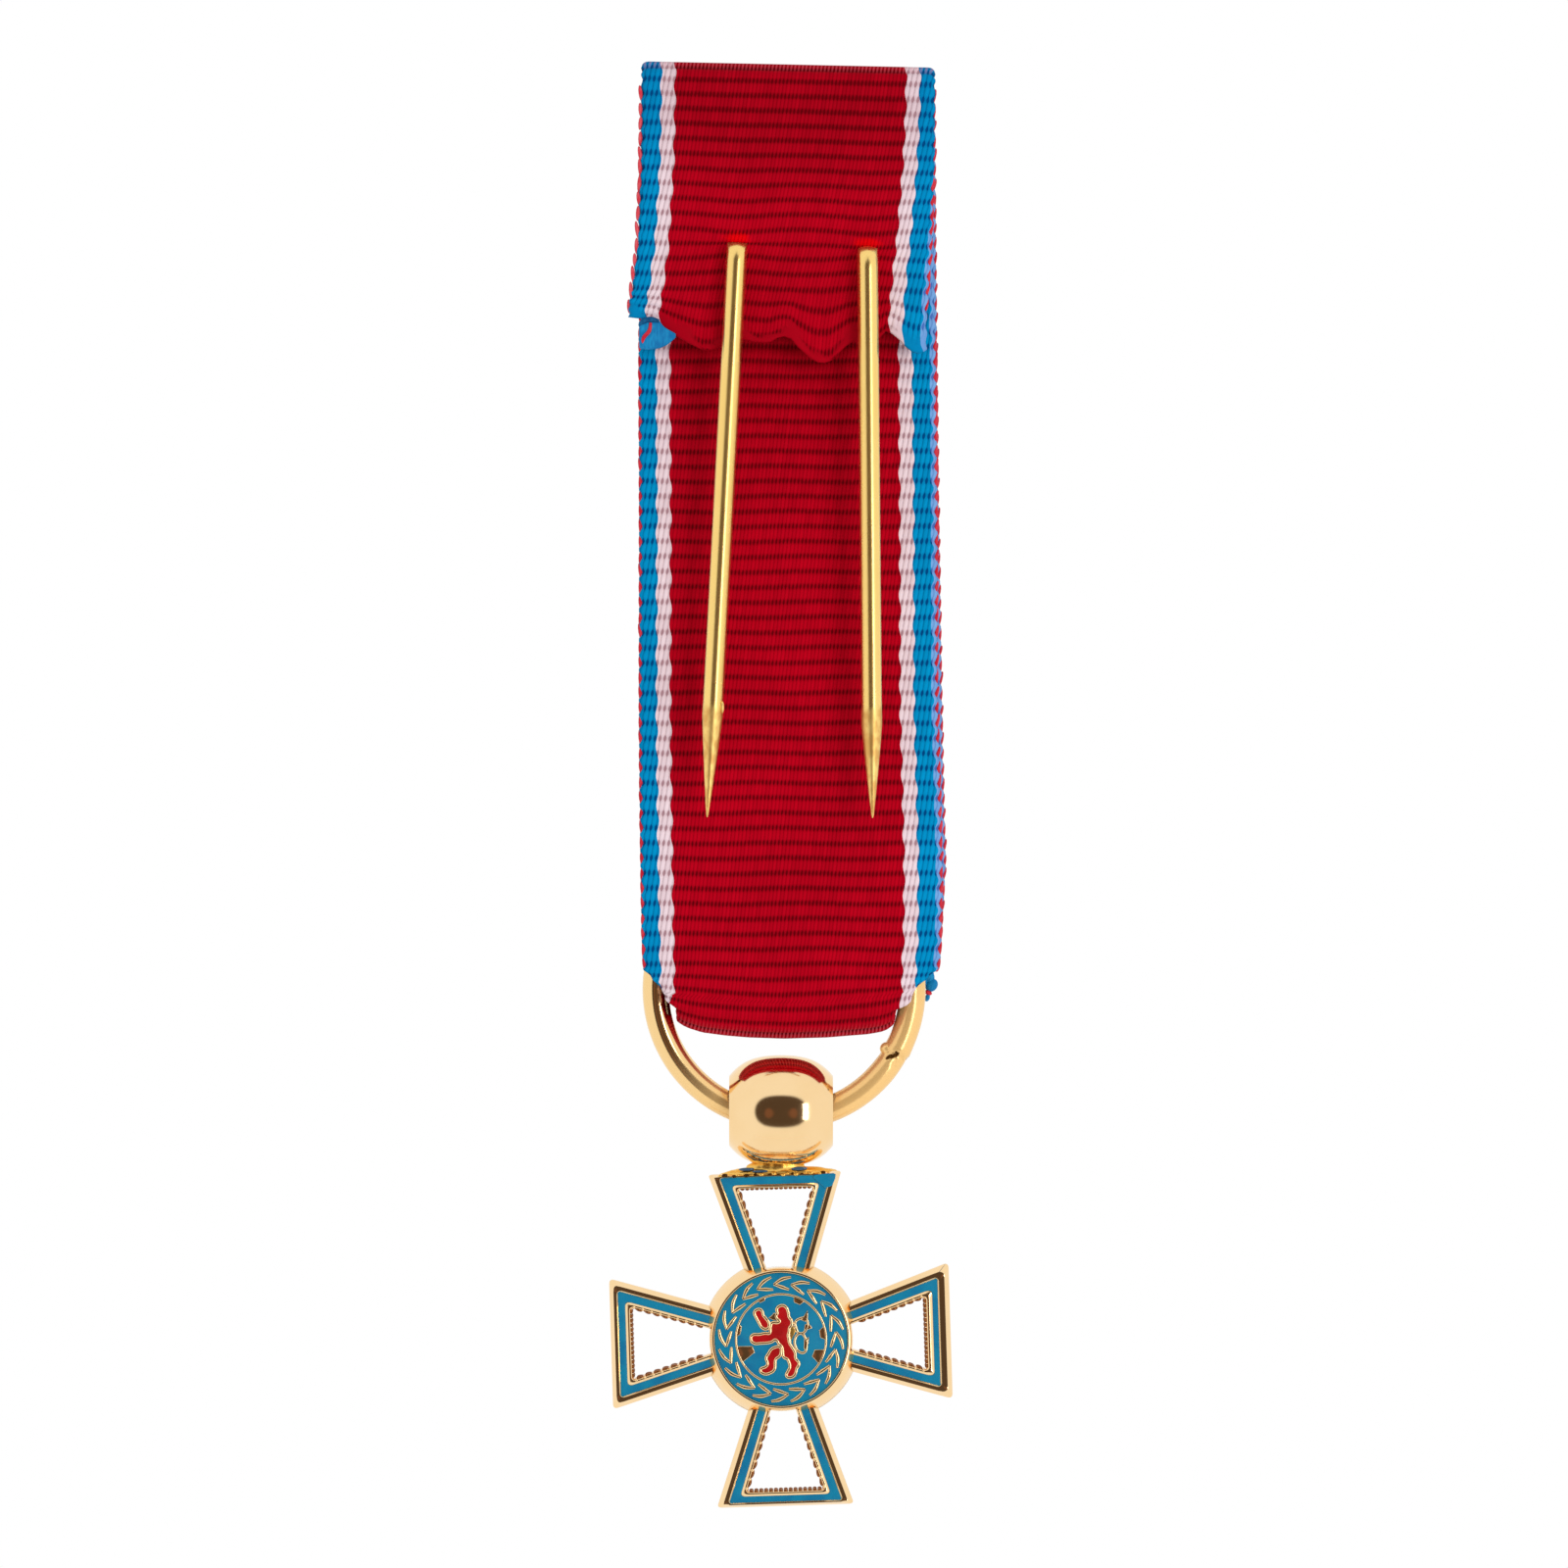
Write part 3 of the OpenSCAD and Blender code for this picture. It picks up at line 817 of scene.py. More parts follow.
@dataclass(frozen=True)
class Layout:
    """Main places of the medal, in mm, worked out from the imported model."""

    axis: Vector
    cross: Vector
    ring: Vector
    ring_r: float
    wire: float
    lean: float = 1.8

    @classmethod
    def from_frame(cls, frame: dict[str, Any]) -> "Layout":
        """Read the places.


        Returns:
            The layout.
        """
        axis = Vector(frame["joints"][0]["pos_m"]) / MM
        disc_low, disc_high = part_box("front_enamel_disc")
        disc = (disc_low + disc_high) / 2 / MM
        ring_low, ring_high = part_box("suspension_ring")
        wire = 1.35
        top = ring_high.z / MM
        bottom = ring_low.z / MM
        ring_r = (top - bottom - wire) / 2
        left = ring_low.x / MM
        ring = Vector((left + ring_r + wire / 2, axis.y, (top + bottom) / 2))
        return cls(axis, Vector((disc.x, axis.y, disc.z)), ring, ring_r, wire)

    def on_cross(self, x: float, up: float, height: float, side: Side = Side.PIN) -> Vector:
        """A point of the cross in metres.

        Args:
            x: Place to the right of its middle, in mm.
            up: Height above its middle, in mm.
            height: Height over its middle plane, in mm.
            side: The face it lies on.

        Returns:
            The point in the shared frame.
        """
        return Vector((self.cross.x + x, self.cross.y - side.value * height, self.cross.z + up)) * MM

    def turn(self, degrees: float) -> Matrix:
        """Turn about the middle of the cross, anticlockwise as the pin side shows it."""
        return about(self.cross * MM, turned(-degrees))


@dataclass
class Part:
    """A sub-assembly: where it goes and what it is finished with."""

    layout: Layout
    finishes: Finishes


RIM = np.array([0.97, 0.982, 0.992, 1.0])
# Places across the band from -1 to 1, closer together at its edges
SHARES = np.concatenate([-RIM[::-1], np.linspace(-0.955, 0.955, 43), RIM])


@dataclass
class Ribbon(Part):
    """The folded band: back strand, loop, front strand, top fold and back flap."""

    width: float = 14.9
    cloth: float = 0.7
    # Columns: place along the turned corner from 0 to 1, its middle height, its half height
    turned_up: Rows3 = (
        (0.0, -4.6, 0.66), (0.25, -4.52, 0.8), (0.48, -4.45, 0.83), (0.62, -4.65, 0.55),
        (0.82, -4.65, 0.35), (1.0, -4.58, 0.1))
    rib_depth: float = 0.13
    scallop: float = 0.045
    rows_per_rib: int = 5
    top_rise: float = 9.4
    fold_r: float = 1.15
    flap_drop: float = 4.9
    strand_end: float = 4.2
    # Half the gap between the strands above the ring, and half the depth of the loop
    apart: float = 1.75
    # Lowest height at which the strands have their full width, and at which they have weft loops
    lowest_full: float = -36.6
    lowest_loop: float = -36.7
    # Left and right edge of the loop from the ring's middle: below the ring, and where its bend starts
    loop_low: Point2 = (-5.65, 5.78)
    loop_high: Point2 = (-6.15, 6.6)
    roots: Rows2 = ((-2.55, 0.1), (4.1, -0.2))
    # Columns: place across the loop from the ring's middle, drop of its lower edge below the ring's middle
    loop_line: Rows2 = (
        (-5.75, 1.4), (-5.45, 1.72), (-5.0, 1.98), (-4.2, 2.24), (-3.0, 2.4), (-1.8, 2.5), (0.0, 2.56),
        (2.2, 2.5), (3.4, 2.4), (4.2, 2.34), (4.6, 2.28), (5.0, 2.2), (5.4, 2.04), (5.75, 1.72))
    # Columns: height, left edge, right edge of the back strand
    back_edges: Rows3 = (
        (-37.2, -7.3, 7.72), (-35.4, -7.38, 7.86), (-31.4, -7.45, 7.9), (-27.4, -7.5, 7.8),
        (-23.4, -7.53, 7.68), (-13.4, -7.52, 7.66), (-5.4, -7.55, 7.6), (4.2, -7.5, 7.4))
    # Columns: height, left edge, right edge of the front strand
    front_edges: Rows3 = (
        (-37.2, -7.2, 7.8), (-35.4, -7.1, 7.9), (-31.4, -7.0, 8.12), (-27.4, -7.1, 8.0),
        (-13.4, -7.2, 7.75), (0.0, -7.4, 7.6), (8.25, -7.4, 7.55))
    # Columns: height, left edge, right edge of the flap
    flap_edges: Rows3 = (
        (-3.6, -8.05, 7.1), (-2.0, -7.85, 7.22), (0.0, -7.6, 7.36), (4.0, -7.42, 7.5), (8.25, -7.4, 7.55))
    # Columns: place across the flap in mm, height of the cut end
    cut: Rows2 = (
        (-8.1, -3.62), (-7.4, -3.7), (-6.75, -3.75), (-6.35, -4.1), (-5.6, -4.6), (-5.1, -4.9),
        (-4.7, -5.1), (-4.15, -5.35), (-3.4, -5.2), (-2.9, -4.9), (-2.3, -4.75), (-1.65, -4.9),
        (-0.9, -4.95), (-0.55, -4.7), (-0.1, -4.6), (0.25, -4.75), (0.5, -5.1), (0.95, -5.5),
        (1.35, -5.85), (1.8, -6.0), (2.25, -5.85), (2.65, -5.45), (3.05, -5.05), (3.35, -4.85),
        (4.6, -4.8), (5.0, -4.35), (5.2, -4.35), (5.55, -4.6), (5.9, -4.95), (6.2, -5.3), (6.65, -5.55),
        (7.05, -5.3), (7.4, -4.95))
    # Height at which the flap's rows start to stretch towards the cut end
    cut_from: float = -2.2
    # Drop of the loop's bend below the ring's middle, and height over it where the strands draw in
    bend_drop: float = 0.6
    shoulder: float = 0.95
    # Change of height for each mm across, where the top fold runs askew and over the whole flap
    askew: float = -0.019
    flap_askew: float = -0.012
    # How far the ribs rise towards the loop's edges, and how far they ripple
    lift: float = 0.4
    ripple: float = 0.035
    # Half the width that the stripes are measured on
    stripe_half: float = 7.6
    # Ribs drawn to a root, in mm: how far, how softly, and their reach up and down and sideways
    draw_in: float = 0.42
    draw_soft: float = 0.5
    draw_tall: float = 2.4
    draw_wide: float = 1.7
    # Cloth pulled over a root, with a painted highlight on it, in mm: half its width and height, how high it
    # lies, how far it bulges
    pulled_w: float = 0.72
    pulled_h: float = 0.36
    pulled_up: float = 0.3
    pulled_bulge: float = 0.12
    # Melted cloth over the cut end, in mm: its depth, its soft border, how far it bulges
    fused_depth: float = 0.42
    fused_border: float = 0.22
    fused_bulge: float = 0.1
    # Columns: height, rate and start of each wave in the melted cloth's border
    fused_waves: Rows3 = ((0.3, 2.1, 0.6), (0.22, 4.7, 0.0))
    # Sharpness of the ribs, and share of half the width past which the edge is scalloped
    rib_power: float = 0.8
    scallop_from: float = 0.965
    # Columns: height, depth of the strands where they leave the ring's pull
    back_path: Rows2 = ((-2.2, 2.17), (1.0, 2.17), (4.2, 1.87))
    front_path: Rows2 = ((2.5, 4.32),)
    flap_path: Rows2 = ((-7.0, 0.0), (2.0, 0.0))
    # How far the top fold's middle lies before the barrel's axis, and how deep the loop's bend is
    fold_lead: float = 1.0
    bend_depth: float = 1.8
    # The ribs' rise: width at which it is full, its most, its top over the ring's middle, its fading height
    lift_at: float = 5.6
    lift_most: float = 1.3
    lift_top: float = 1.2
    lift_fade: float = 1.8
    ripple_rates: Point2 = (0.9, 0.35)
    # Height at which the roots' pull on the flap's ribs ends, and over which it fades
    warp_top: float = 9.2
    warp_fade: float = 2.5
    # Sideways shift of the stripes: round the loop, then on the flap its heights and its amounts
    loop_shift: float = 0.1
    shift_from: Point2 = (-3.0, 8.5)
    shift: Point2 = (0.27, 0.022)
    # Weft loops: half sizes, how far they stand out, and the same where they are drawn in on the flap
    weft_size: Point3 = (0.11, 0.14, 0.42)
    weft_out: float = 0.05
    weft_in: float = -0.06
    # Lowest height of the flap's loops, and the tops of the loops that show on the right edges
    flap_loops: float = -3.3
    back_bare: float = -4.5
    flap_bare: float = 3.2
    # Columns: size and rate of the change from loop to loop. Rows: in height, in lean, in length
    weft_waves: Rows2 = ((0.05, 2.4), (6.0, 1.7), (0.15, 0.9))
    # The turned-up corner, in mm: its left end, its width, its depth, how far it bulges, its thickness
    corner_left: float = -7.52
    corner_width: float = 1.87
    corner_depth: float = 0.1
    corner_bulge: float = 0.28
    corner_thick: float = 0.32

    @property
    def loop_z(self) -> float:
        """Height at which the loop's bend starts."""
        return self.layout.ring.z - self.bend_drop

    @property
    def fold_z(self) -> float:
        """Height at which the top fold starts."""
        return self.top_rise - self.fold_r

    def build(self) -> None:
        """Make the cloth, its edge loops and its turned corner."""
        rows = self._rows()
        cloth = self._cloth(rows)
        loops = self._edge_loops(rows)
        corner = self._turned_corner()
        tucked = self._tucked_corner()
        for piece in (cloth, loops, corner, tucked):
            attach(piece, Body.HANGER.value)
            log.info("made %s", piece.name)
        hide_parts("ribbon")

    def _rows(self) -> list[Row]:
        """Work out the rows of the band, a fifth of a rib apart.

        Returns:
            The rows from the hidden end behind the flap to the flap's cut end.
        """
        def strand(name: str, heights: np.ndarray, *depths: Point2) -> list[tuple]:
            return [(name, float(np.interp(z, *zip(*depths))), z, 0.0) for z in heights]

        mid, low, top, radius = self.layout.axis.y, self.loop_z, self.fold_z, self.fold_r
        ring_top = self.layout.ring.z + self.layout.ring_r + self.layout.wire / 2
        fold_y = mid - self.fold_lead
        step = 0.02
        course = strand("back", np.arange(self.strand_end, low, -step), (low, mid - self.apart),
                        (ring_top, mid - self.apart), *self.back_path)
        course += [("loop", mid, low, angle) for angle in np.arange(-90.0, 90.0, 0.6)]
        course += strand("front", np.arange(low, top, step), (low, mid + self.apart),
                         (ring_top, mid + self.apart), *self.front_path, (top, fold_y + radius))
        for angle in np.arange(0.0, 180.0, 1.0):
            turn = math.radians(angle)
            course.append(("fold", fold_y + radius * math.cos(turn), top + radius * math.sin(turn), angle))
        course += strand("flap", np.arange(top, -self.flap_drop, -step), *self.flap_path,
                         (top, fold_y - radius))
        return self._spaced(course)

    def _spaced(self, course: list[tuple]) -> list[Row]:
        """Pick the rows of a fine course that lie a fifth of a rib apart, and add their lengths.

        Args:
            course: The rows of the fine course, without lengths.

        Returns:
            The rows that were picked.
        """
        rows = []
        length = wanted = 0.0
        last = None
        for name, y, z, angle in course:
            spot = (y, z)
            if name == "loop":
                turn = math.radians(angle)
                spot = (y + self.apart * math.sin(turn), z - self.bend_depth * math.cos(turn))
            length += math.dist(spot, last or spot)
            last = spot
            if length >= wanted:
                rows.append((name, y, z, angle, length))
                wanted += RIB / self.rows_per_rib
        return rows

    def _edges(self, name: str, z: float) -> Point2:
        """Left and right edge of a row in mm.

        Args:
            name: The row's stretch.
            z: Its height.

        Returns:
            The two places.
        """
        middle = self.layout.ring.x
        if name == "loop":
            return middle + self.loop_low[0], middle + self.loop_low[1]
        table = {"back": self.back_edges, "front": self.front_edges}.get(name, self.flap_edges)
        heights, *edges = zip(*table)
        left, right = (float(np.interp(z, heights, edge)) for edge in edges)
        shoulder = self.layout.ring.z + self.shoulder
        if name in ("back", "front") and z < shoulder:
            share = (shoulder - z) / (shoulder - self.loop_z)
            left += (middle + self.loop_high[0] - left) * share
            right += (middle + self.loop_high[1] - right) * share
        return left, right

    def _slant(self, x: Numbers, z: float) -> Numbers:
        """Change of height where the band runs askew towards its top fold."""
        return self.askew * x * max(0.0, z / self.fold_z)

    def _warp(self, x: np.ndarray, z: float) -> np.ndarray:
        """Move the flap's ribs in its plane towards the roots of the prongs.

        Args:
            x: Places across.
            z: The row's height.

        Returns:
            Changes of height in mm.
        """
        moved = self.flap_askew * x
        for root_x, root_z in self.roots:
            away = z - root_z
            pull = -self.draw_in * away / (abs(away) + self.draw_soft) * math.exp(-abs(away) / self.draw_tall)
            moved = moved + pull * np.exp(-((x - root_x) / self.draw_wide) ** 2)
        return moved

    def _row(self, row: Row) -> tuple[np.ndarray, np.ndarray]:
        """Lay one row of the smooth outer face.

        Args:
            row: The row.

        Returns:
            Its points, and its places across for the stripes.
        """
        name, y, z, angle, _ = row
        turn = math.radians(angle)
        ring = self.layout.ring
        left, right = self._edges(name, z)
        if name == "loop":
            wide = eased(abs(math.sin(turn)), 0.7, 1.0)
            left += (self.loop_high[0] - self.loop_low[0]) * wide
            right += (self.loop_high[1] - self.loop_low[1]) * wide
        x = (left + right) / 2 + SHARES * (right - left) / 2
        off = x - ring.x
        across = x - self.loop_shift
        if name != "loop":
            whole = self._edges(name, max(z, self.lowest_full))
            across = (x - sum(whole) / 2) * (self.stripe_half / max((whole[1] - whole[0]) / 2, 1))
        height = np.full_like(x, z)
        depth = np.full_like(x, y)
        lift = self.lift * np.minimum(np.abs(off) / self.lift_at, self.lift_most) ** 2
        if name == "loop":
            reach = z + lift - (ring.z - np.interp(off, *zip(*self.loop_line)))
            depth = depth + self.apart * math.sin(turn)
            height = z + lift - math.cos(turn) * reach
        elif name in ("back", "front"):
            height = height + lift * float(np.clip((ring.z + self.lift_top - z) / self.lift_fade, 0, 1))
            along_x, along_z = self.ripple_rates
            height = height + self.ripple * np.sin(x * along_x + z * along_z)
        if name in ("front", "fold", "flap"):
            height = height + self._slant(x, z)
        if name in ("flap", "fold"):
            height = height + self._warp(x, z) * eased(self.warp_top - z, 0.0, self.warp_fade)
            across = across - eased(z, *self.shift_from) * (self.shift[0] + self.shift[1] * x)
        return np.stack([x, depth, height], axis=1), across

    def _cut_flap(self, points: np.ndarray, flap: np.ndarray) -> None:
        """Stretch or pull up the last rows of the flap to its uneven cut end.

        Args:
            points: The face's points, changed in place.
            flap: Which rows belong to the flap.
        """
        zs = points[flap, :, 2]
        start = self.cut_from
        for j, place in enumerate(points[-1, :, 0]):
            column = zs[:, j]
            end = float(np.interp(place, *zip(*self.cut)))
            low = column < start
            share = (start - column[low]) / (start - column[-1])
            zs[low, j] = start - share * (start - end)
        points[flap, :, 2] = zs

    def _normals(self, points: np.ndarray) -> np.ndarray:
        """Outward unit normals of the face from its neighbours.

        Args:
            points: The face as a grid of points.

        Returns:
            The normals, in the same order.
        """
        down = np.gradient(points, axis=0)
        over = np.gradient(points, axis=1)
        normals = np.cross(over, down)
        lengths = np.linalg.norm(normals, axis=2, keepdims=True)
        return -normals / np.maximum(lengths, 1e-9)

    def _cloth(self, rows: list[Row]) -> Piece:
        """Make the band's closed sheet.

        Args:
            rows: The rows.

        Returns:
            The cloth piece.
        """
        points, across = (np.array(values) for values in zip(*map(self._row, rows)))
        along = np.array([row[-1] for row in rows])[:, None] + np.zeros_like(across)
        flap = np.array([row[0] == "flap" for row in rows])
        self._cut_flap(points, flap)
        normals = self._normals(points)
        half = np.abs(points[:, -1, 0] - points[:, 0, 0]) / 2
        inside = (1 - np.abs(SHARES))[None, :] * half[:, None]
        radius = self.cloth / 2
        rounding = radius - np.sqrt(np.maximum(radius ** 2 - np.maximum(radius - inside, 0) ** 2, 0))
        fused = self._fused(points, flap)
        pulled = self._pulled(points, flap)
        phase = along / RIB
        ribs = np.abs(np.sin(math.pi * phase)) ** self.rib_power
        depth = self.rib_depth * (1 - ribs) * (1 - fused)
        scallop = self.scallop * np.cos(2 * math.pi * phase) * (np.abs(SHARES) > self.scallop_from)[None, :]
        points[:, :, 0] += np.sign(SHARES)[None, :] * -scallop
        bulge = self.fused_bulge * fused + self.pulled_bulge * pulled
        outer = points - normals * (rounding + depth - bulge)[..., None]
        inner = points - normals * (self.cloth - rounding - 0.5 * depth)[..., None]
        marks = {"fused": fused, "pulled": pulled, "crease": eased(np.abs(normals[..., 2]), 0.62, 0.97)}
        return self._sheet_mesh(outer, inner, across, along, marks)

    def _fused(self, points: np.ndarray, flap: np.ndarray) -> np.ndarray:
        """Share of melted, smooth cloth near the flap's cut end.

        Args:
            points: The face as a grid of points.
            flap: Which rows belong to the flap.

        Returns:
            The share of each point.
        """
        above = points[:, :, 2] - points[-1, :, 2][None, :]
        x = points[:, :, 0]
        depth = np.full_like(x, self.fused_depth)
        for high, rate, start in self.fused_waves:
            depth += high * np.sin(x * rate + start)
        fused = (1 - eased(above - depth, 0.0, self.fused_border)) * flap[:, None]
        fused[-1] = 1.0
        return fused

    def _pulled(self, points: np.ndarray, flap: np.ndarray) -> np.ndarray:
        """Share of stretched cloth just above each prong's root, which bulges and gets a painted highlight.

        Args:
            points: The face as a grid of points.
            flap: Which rows belong to the flap.

        Returns:
            The share of each point.
        """
        pulled = np.zeros(points.shape[:2])
        for root_x, root_z in self.roots:
            side = (points[:, :, 0] - root_x) / self.pulled_w
            over = (points[:, :, 2] - root_z - self.pulled_up) / self.pulled_h
            far = side ** 2 + over ** 2
            pulled = np.maximum(pulled, 1 - eased(far, 0.35, 1.1))
        return pulled * flap[:, None]

    def _sheet_mesh(self, outer: np.ndarray, inner: np.ndarray, across: np.ndarray, along: np.ndarray,
                    marks: dict[str, np.ndarray]) -> Piece:
        """Join two grids into a closed sheet with a cloth map.

        Args:
            outer: Points of the outer face.
            inner: Points of the inner face.
            across: Place across for each point.
            along: Length along for each point.
            marks: Number attributes by name.

        Returns:
            The sheet.
        """
        n, m = outer.shape[:2]
        grid = np.arange(n * m).reshape(n, m)
        corners = [grid[:-1, :-1], grid[:-1, 1:], grid[1:, 1:], grid[1:, :-1]]
        quads = np.stack(corners, axis=-1).reshape(-1, 4)
        back = quads[:, ::-1] + n * m
        rim = np.concatenate([grid[:, 0], grid[-1, 1:], grid[-2::-1, -1], grid[0, -2:0:-1]])
        after = np.roll(rim, -1)
        sides = np.stack([rim, rim + n * m, after + n * m, after], axis=-1)
        faces = np.concatenate([quads, back, sides[:, ::-1]])
        verts = np.concatenate([outer.reshape(-1, 3), inner.reshape(-1, 3)]) * MM
        mesh = bpy.data.meshes.new("ribbon_cloth")
        mesh.from_pydata(verts.tolist(), [], faces.tolist())
        chart = mesh.uv_layers.new(name="cloth")
        corners = np.zeros(len(mesh.loops), dtype=np.int64)
        mesh.loops.foreach_get("vertex_index", corners)
        u = np.tile((across / WIDTH_SPAN + 0.5).reshape(-1), 2)[corners]
        v = np.tile((along / LENGTH_SPAN).reshape(-1), 2)[corners]
        chart.data.foreach_set("uv", np.stack([u, v], axis=1).reshape(-1).astype(np.float32))
        for name, values in marks.items():
            layer = mesh.attributes.new(name, "FLOAT", "POINT")
            layer.data.foreach_set("value", np.tile(values.reshape(-1), 2).astype(np.float32))
        piece = added("ribbon_cloth", mesh)
        with Editing(piece, whole=True):
            bpy.ops.mesh.normals_make_consistent(inside=False)
        bpy.ops.object.shade_smooth()
        return dress(piece, self.finishes.ribbon)

    def _edge_loops(self, rows: list[Row]) -> Piece:
        """Make the weft loops that stand out along both edges of the band.

        Args:
            rows: The rows.

        Returns:
            One piece with every loop.
        """
        bead = ball("weft_loop", Vector(), self.weft_size, (8, 6), 14)
        # Lowest height of each stretch's loops, and where its right edge is covered or bare
        lowest = {"back": self.lowest_loop, "front": self.lowest_loop, "flap": self.flap_loops}
        right_top = {"back": self.back_bare, "flap": self.flap_bare}
        copies = []
        for name, y, z, _, length in rows:
            off_rib = abs(length / RIB - round(length / RIB)) > 0.5 / self.rows_per_rib
            if off_rib or z < lowest.get(name, math.inf):
                continue
            inwards = -1.0 if name == "front" else 1.0
            for edge, lean in zip(self._edges(name, z), (1.0, -1.0)):
                if lean < 0 and z > right_top.get(name, math.inf):
                    continue
                count = len(copies) + 1
                drop, sway, stretch = (size * math.sin(count * rate) for size, rate in self.weft_waves)
                tilt = self._slant(edge, z) if name != "back" else 0.0
                out = self.weft_out if name != "flap" or lean < 0 else self.weft_in
                spot = Vector((edge + lean * out, y + inwards * self.cloth * 0.45, z + drop + tilt)) * MM
                turn = turned(-10 - 7 * lean + sway)
                longer = Matrix.Diagonal((1.0, 1.0, 1.0 + stretch, 1.0))
                copies.append(copied(bead, "weft_loop_copy", Matrix.Translation(spot) @ turn @ longer))
                pale = name == "flap" and lean > 0
                dress(copies[-1], self.finishes.coral if pale else self.finishes.weft)
        bpy.data.objects.remove(bead)
        return joined(copies, "ribbon_weft_loops")

    def _turned_corner(self) -> Piece:
        """Make the blue corner that is turned up at the left end of the cut, with its stray loop and a dark
        cord of painted shade along its top.

        Returns:
            The corner piece.
        """
        bpy.ops.mesh.primitive_grid_add(x_subdivisions=10, y_subdivisions=6, size=2 * MM)
        corner = bpy.context.object
        places, middles, halves = zip(*self.turned_up)
        for vert in corner.data.vertices:
            u = vert.co.x / MM * 0.5 + 0.5
            v = vert.co.y / MM
            x = self.corner_left + self.corner_width * u
            z = float(np.interp(u, places, middles)) + v * float(np.interp(u, places, halves))
            bulge = self.corner_bulge * math.sin(math.pi * min(1.0, 0.25 + u)) * (1 - 0.5 * v * v)
            vert.co = Vector((x, -self.corner_depth - bulge, z)) * MM
        modify(corner, "SOLIDIFY", thickness=self.corner_thick * MM, offset=0.0)
        modify(corner, "SUBSURF", levels=2)
        stray = [(-7.35, -0.35, -5.05), (-7.28, -0.5, -4.7), (-7.0, -0.55, -4.35), (-6.93, -0.5, -3.95)]
        # Dark blue cord that paints the shade along the corner's top edge
        edge = [(-7.5, -0.3, -4.1), (-7.25, -0.42, -3.85), (-6.9, -0.46, -3.78), (-6.5, -0.42, -3.86)]
        parts = [settle(corner, "corner"), cord("stray_weft", stray, 0.1, 0.7),
                 cord("shaded_edge", edge, 0.15, 0.6)]
        looks = (self.finishes.fused_blue, self.finishes.weft, self.finishes.shaded_blue)
        for part, finish in zip(parts, looks):
            dress(smooth(part, 80), finish)
        return joined(parts, "ribbon_turned_corner")

    def _tucked_corner(self) -> Piece:
        """Make the edge threads of the corner that is tucked in behind the ring on the right.

        Returns:
            The threads as one piece.
        """
        blue = self.finishes.fused_blue
        red = self.finishes.weft
        # Columns: across, height, half width, half height, lean in degrees, material
        rows = ((7.25, -37.2, 0.3, 0.5, -18, blue), (7.05, -37.5, 0.2, 0.42, 8, blue),
                (7.42, -37.72, 0.3, 0.36, 38, blue), (7.25, -38.1, 0.2, 0.13, 24, red),
                (7.2, -38.36, 0.13, 0.2, 20, blue))
        threads = []
        for x, z, half, tall, lean, material in rows:
            place = Vector((x, self.layout.axis.y + 1.4, z)) * MM
            thread = ball("tucked_thread", place, (half, 0.28, tall), (16, 10), lean)
            threads.append(dress(thread, material))
        return joined(threads, "ribbon_tucked_corner")


def drawn(name: str, outlines: Sequence[Sequence[Any]], handle: str, closed: bool,
          **settings: Any) -> bpy.types.Curve:
    """Draw a curve through points.

    Args:
        name: Name of the curve.
        outlines: Its lines of points, in mm.
        handle: AUTO for smooth lines and VECTOR for straight sides.
        closed: Whether the last point of a line joins the first.
        settings: The curve's own settings.

    Returns:
        The curve.
    """
    curve = bpy.data.curves.new(name, "CURVE")
    for key, value in settings.items():
        setattr(curve, key, value)
    for outline in outlines:
        spline = curve.splines.new("BEZIER")
        spline.bezier_points.add(len(outline) - 1)
        for point, spot in zip(spline.bezier_points, outline):
            point.co = Vector(spot).to_3d() * MM
            point.handle_left_type = point.handle_right_type = handle
        spline.use_cyclic_u = closed
    return curve


def cord(name: str, route: Sequence[Point3 | Vector], radius: float, ends: float = 1.0,
         closed: bool = False) -> Piece:
    """Make a round line through points.

    Args:
        name: Name of the piece.
        route: Points in mm, in the shared frame.
        radius: Its radius in mm.
        ends: Radius of its ends as a share.
        closed: Whether the last point joins the first.

    Returns:
        The line as a mesh.
    """
    curve = drawn(name, [route], "AUTO", closed, dimensions="3D", bevel_depth=radius * MM,
                  bevel_resolution=3, resolution_u=5, use_fill_caps=True)
    if not closed:
        points = curve.splines[0].bezier_points
        points[0].radius = points[-1].radius = ends
    return settle(added(name, curve), name)


def plate(name: str, outlines: Sequence[Sequence[Point2]], low: float, high: float, round_r: float,
          layout: Layout, side: Side = Side.PIN, curved: bool = False) -> Piece:
    """Make a flat plate with rounded edges on the cross.

    Args:
        name: Name of the piece.
        outlines: The outer outline, then any holes, in mm from the middle of the cross.
        low: Height of its underside over the cross's middle plane.
        high: Height of its top.
        round_r: Radius of its edges.
        layout: Places of the medal.
        side: The face it lies on.
        curved: Whether the outlines are drawn as smooth curves.

    Returns:
        The plate as a mesh.
    """
    curve = drawn(name, outlines, "AUTO" if curved else "VECTOR", True, dimensions="2D", fill_mode="BOTH",
                  extrude=max((high - low) / 2 - round_r, 0.001) * MM, bevel_depth=round_r * MM,
                  bevel_resolution=2, offset=-round_r * MM, resolution_u=4)
    piece = added(name, curve)
    piece.location = layout.on_cross(0.0, 0.0, (low + high) / 2, side)
    piece.rotation_euler = (math.radians(90), 0.0, 0.0)
    piece = smooth(settle(piece, name), 50)
    with Editing(piece, whole=True):
        bpy.ops.mesh.remove_doubles(threshold=0.0005 * MM)
        bpy.ops.mesh.normals_make_consistent(inside=False)
    return piece


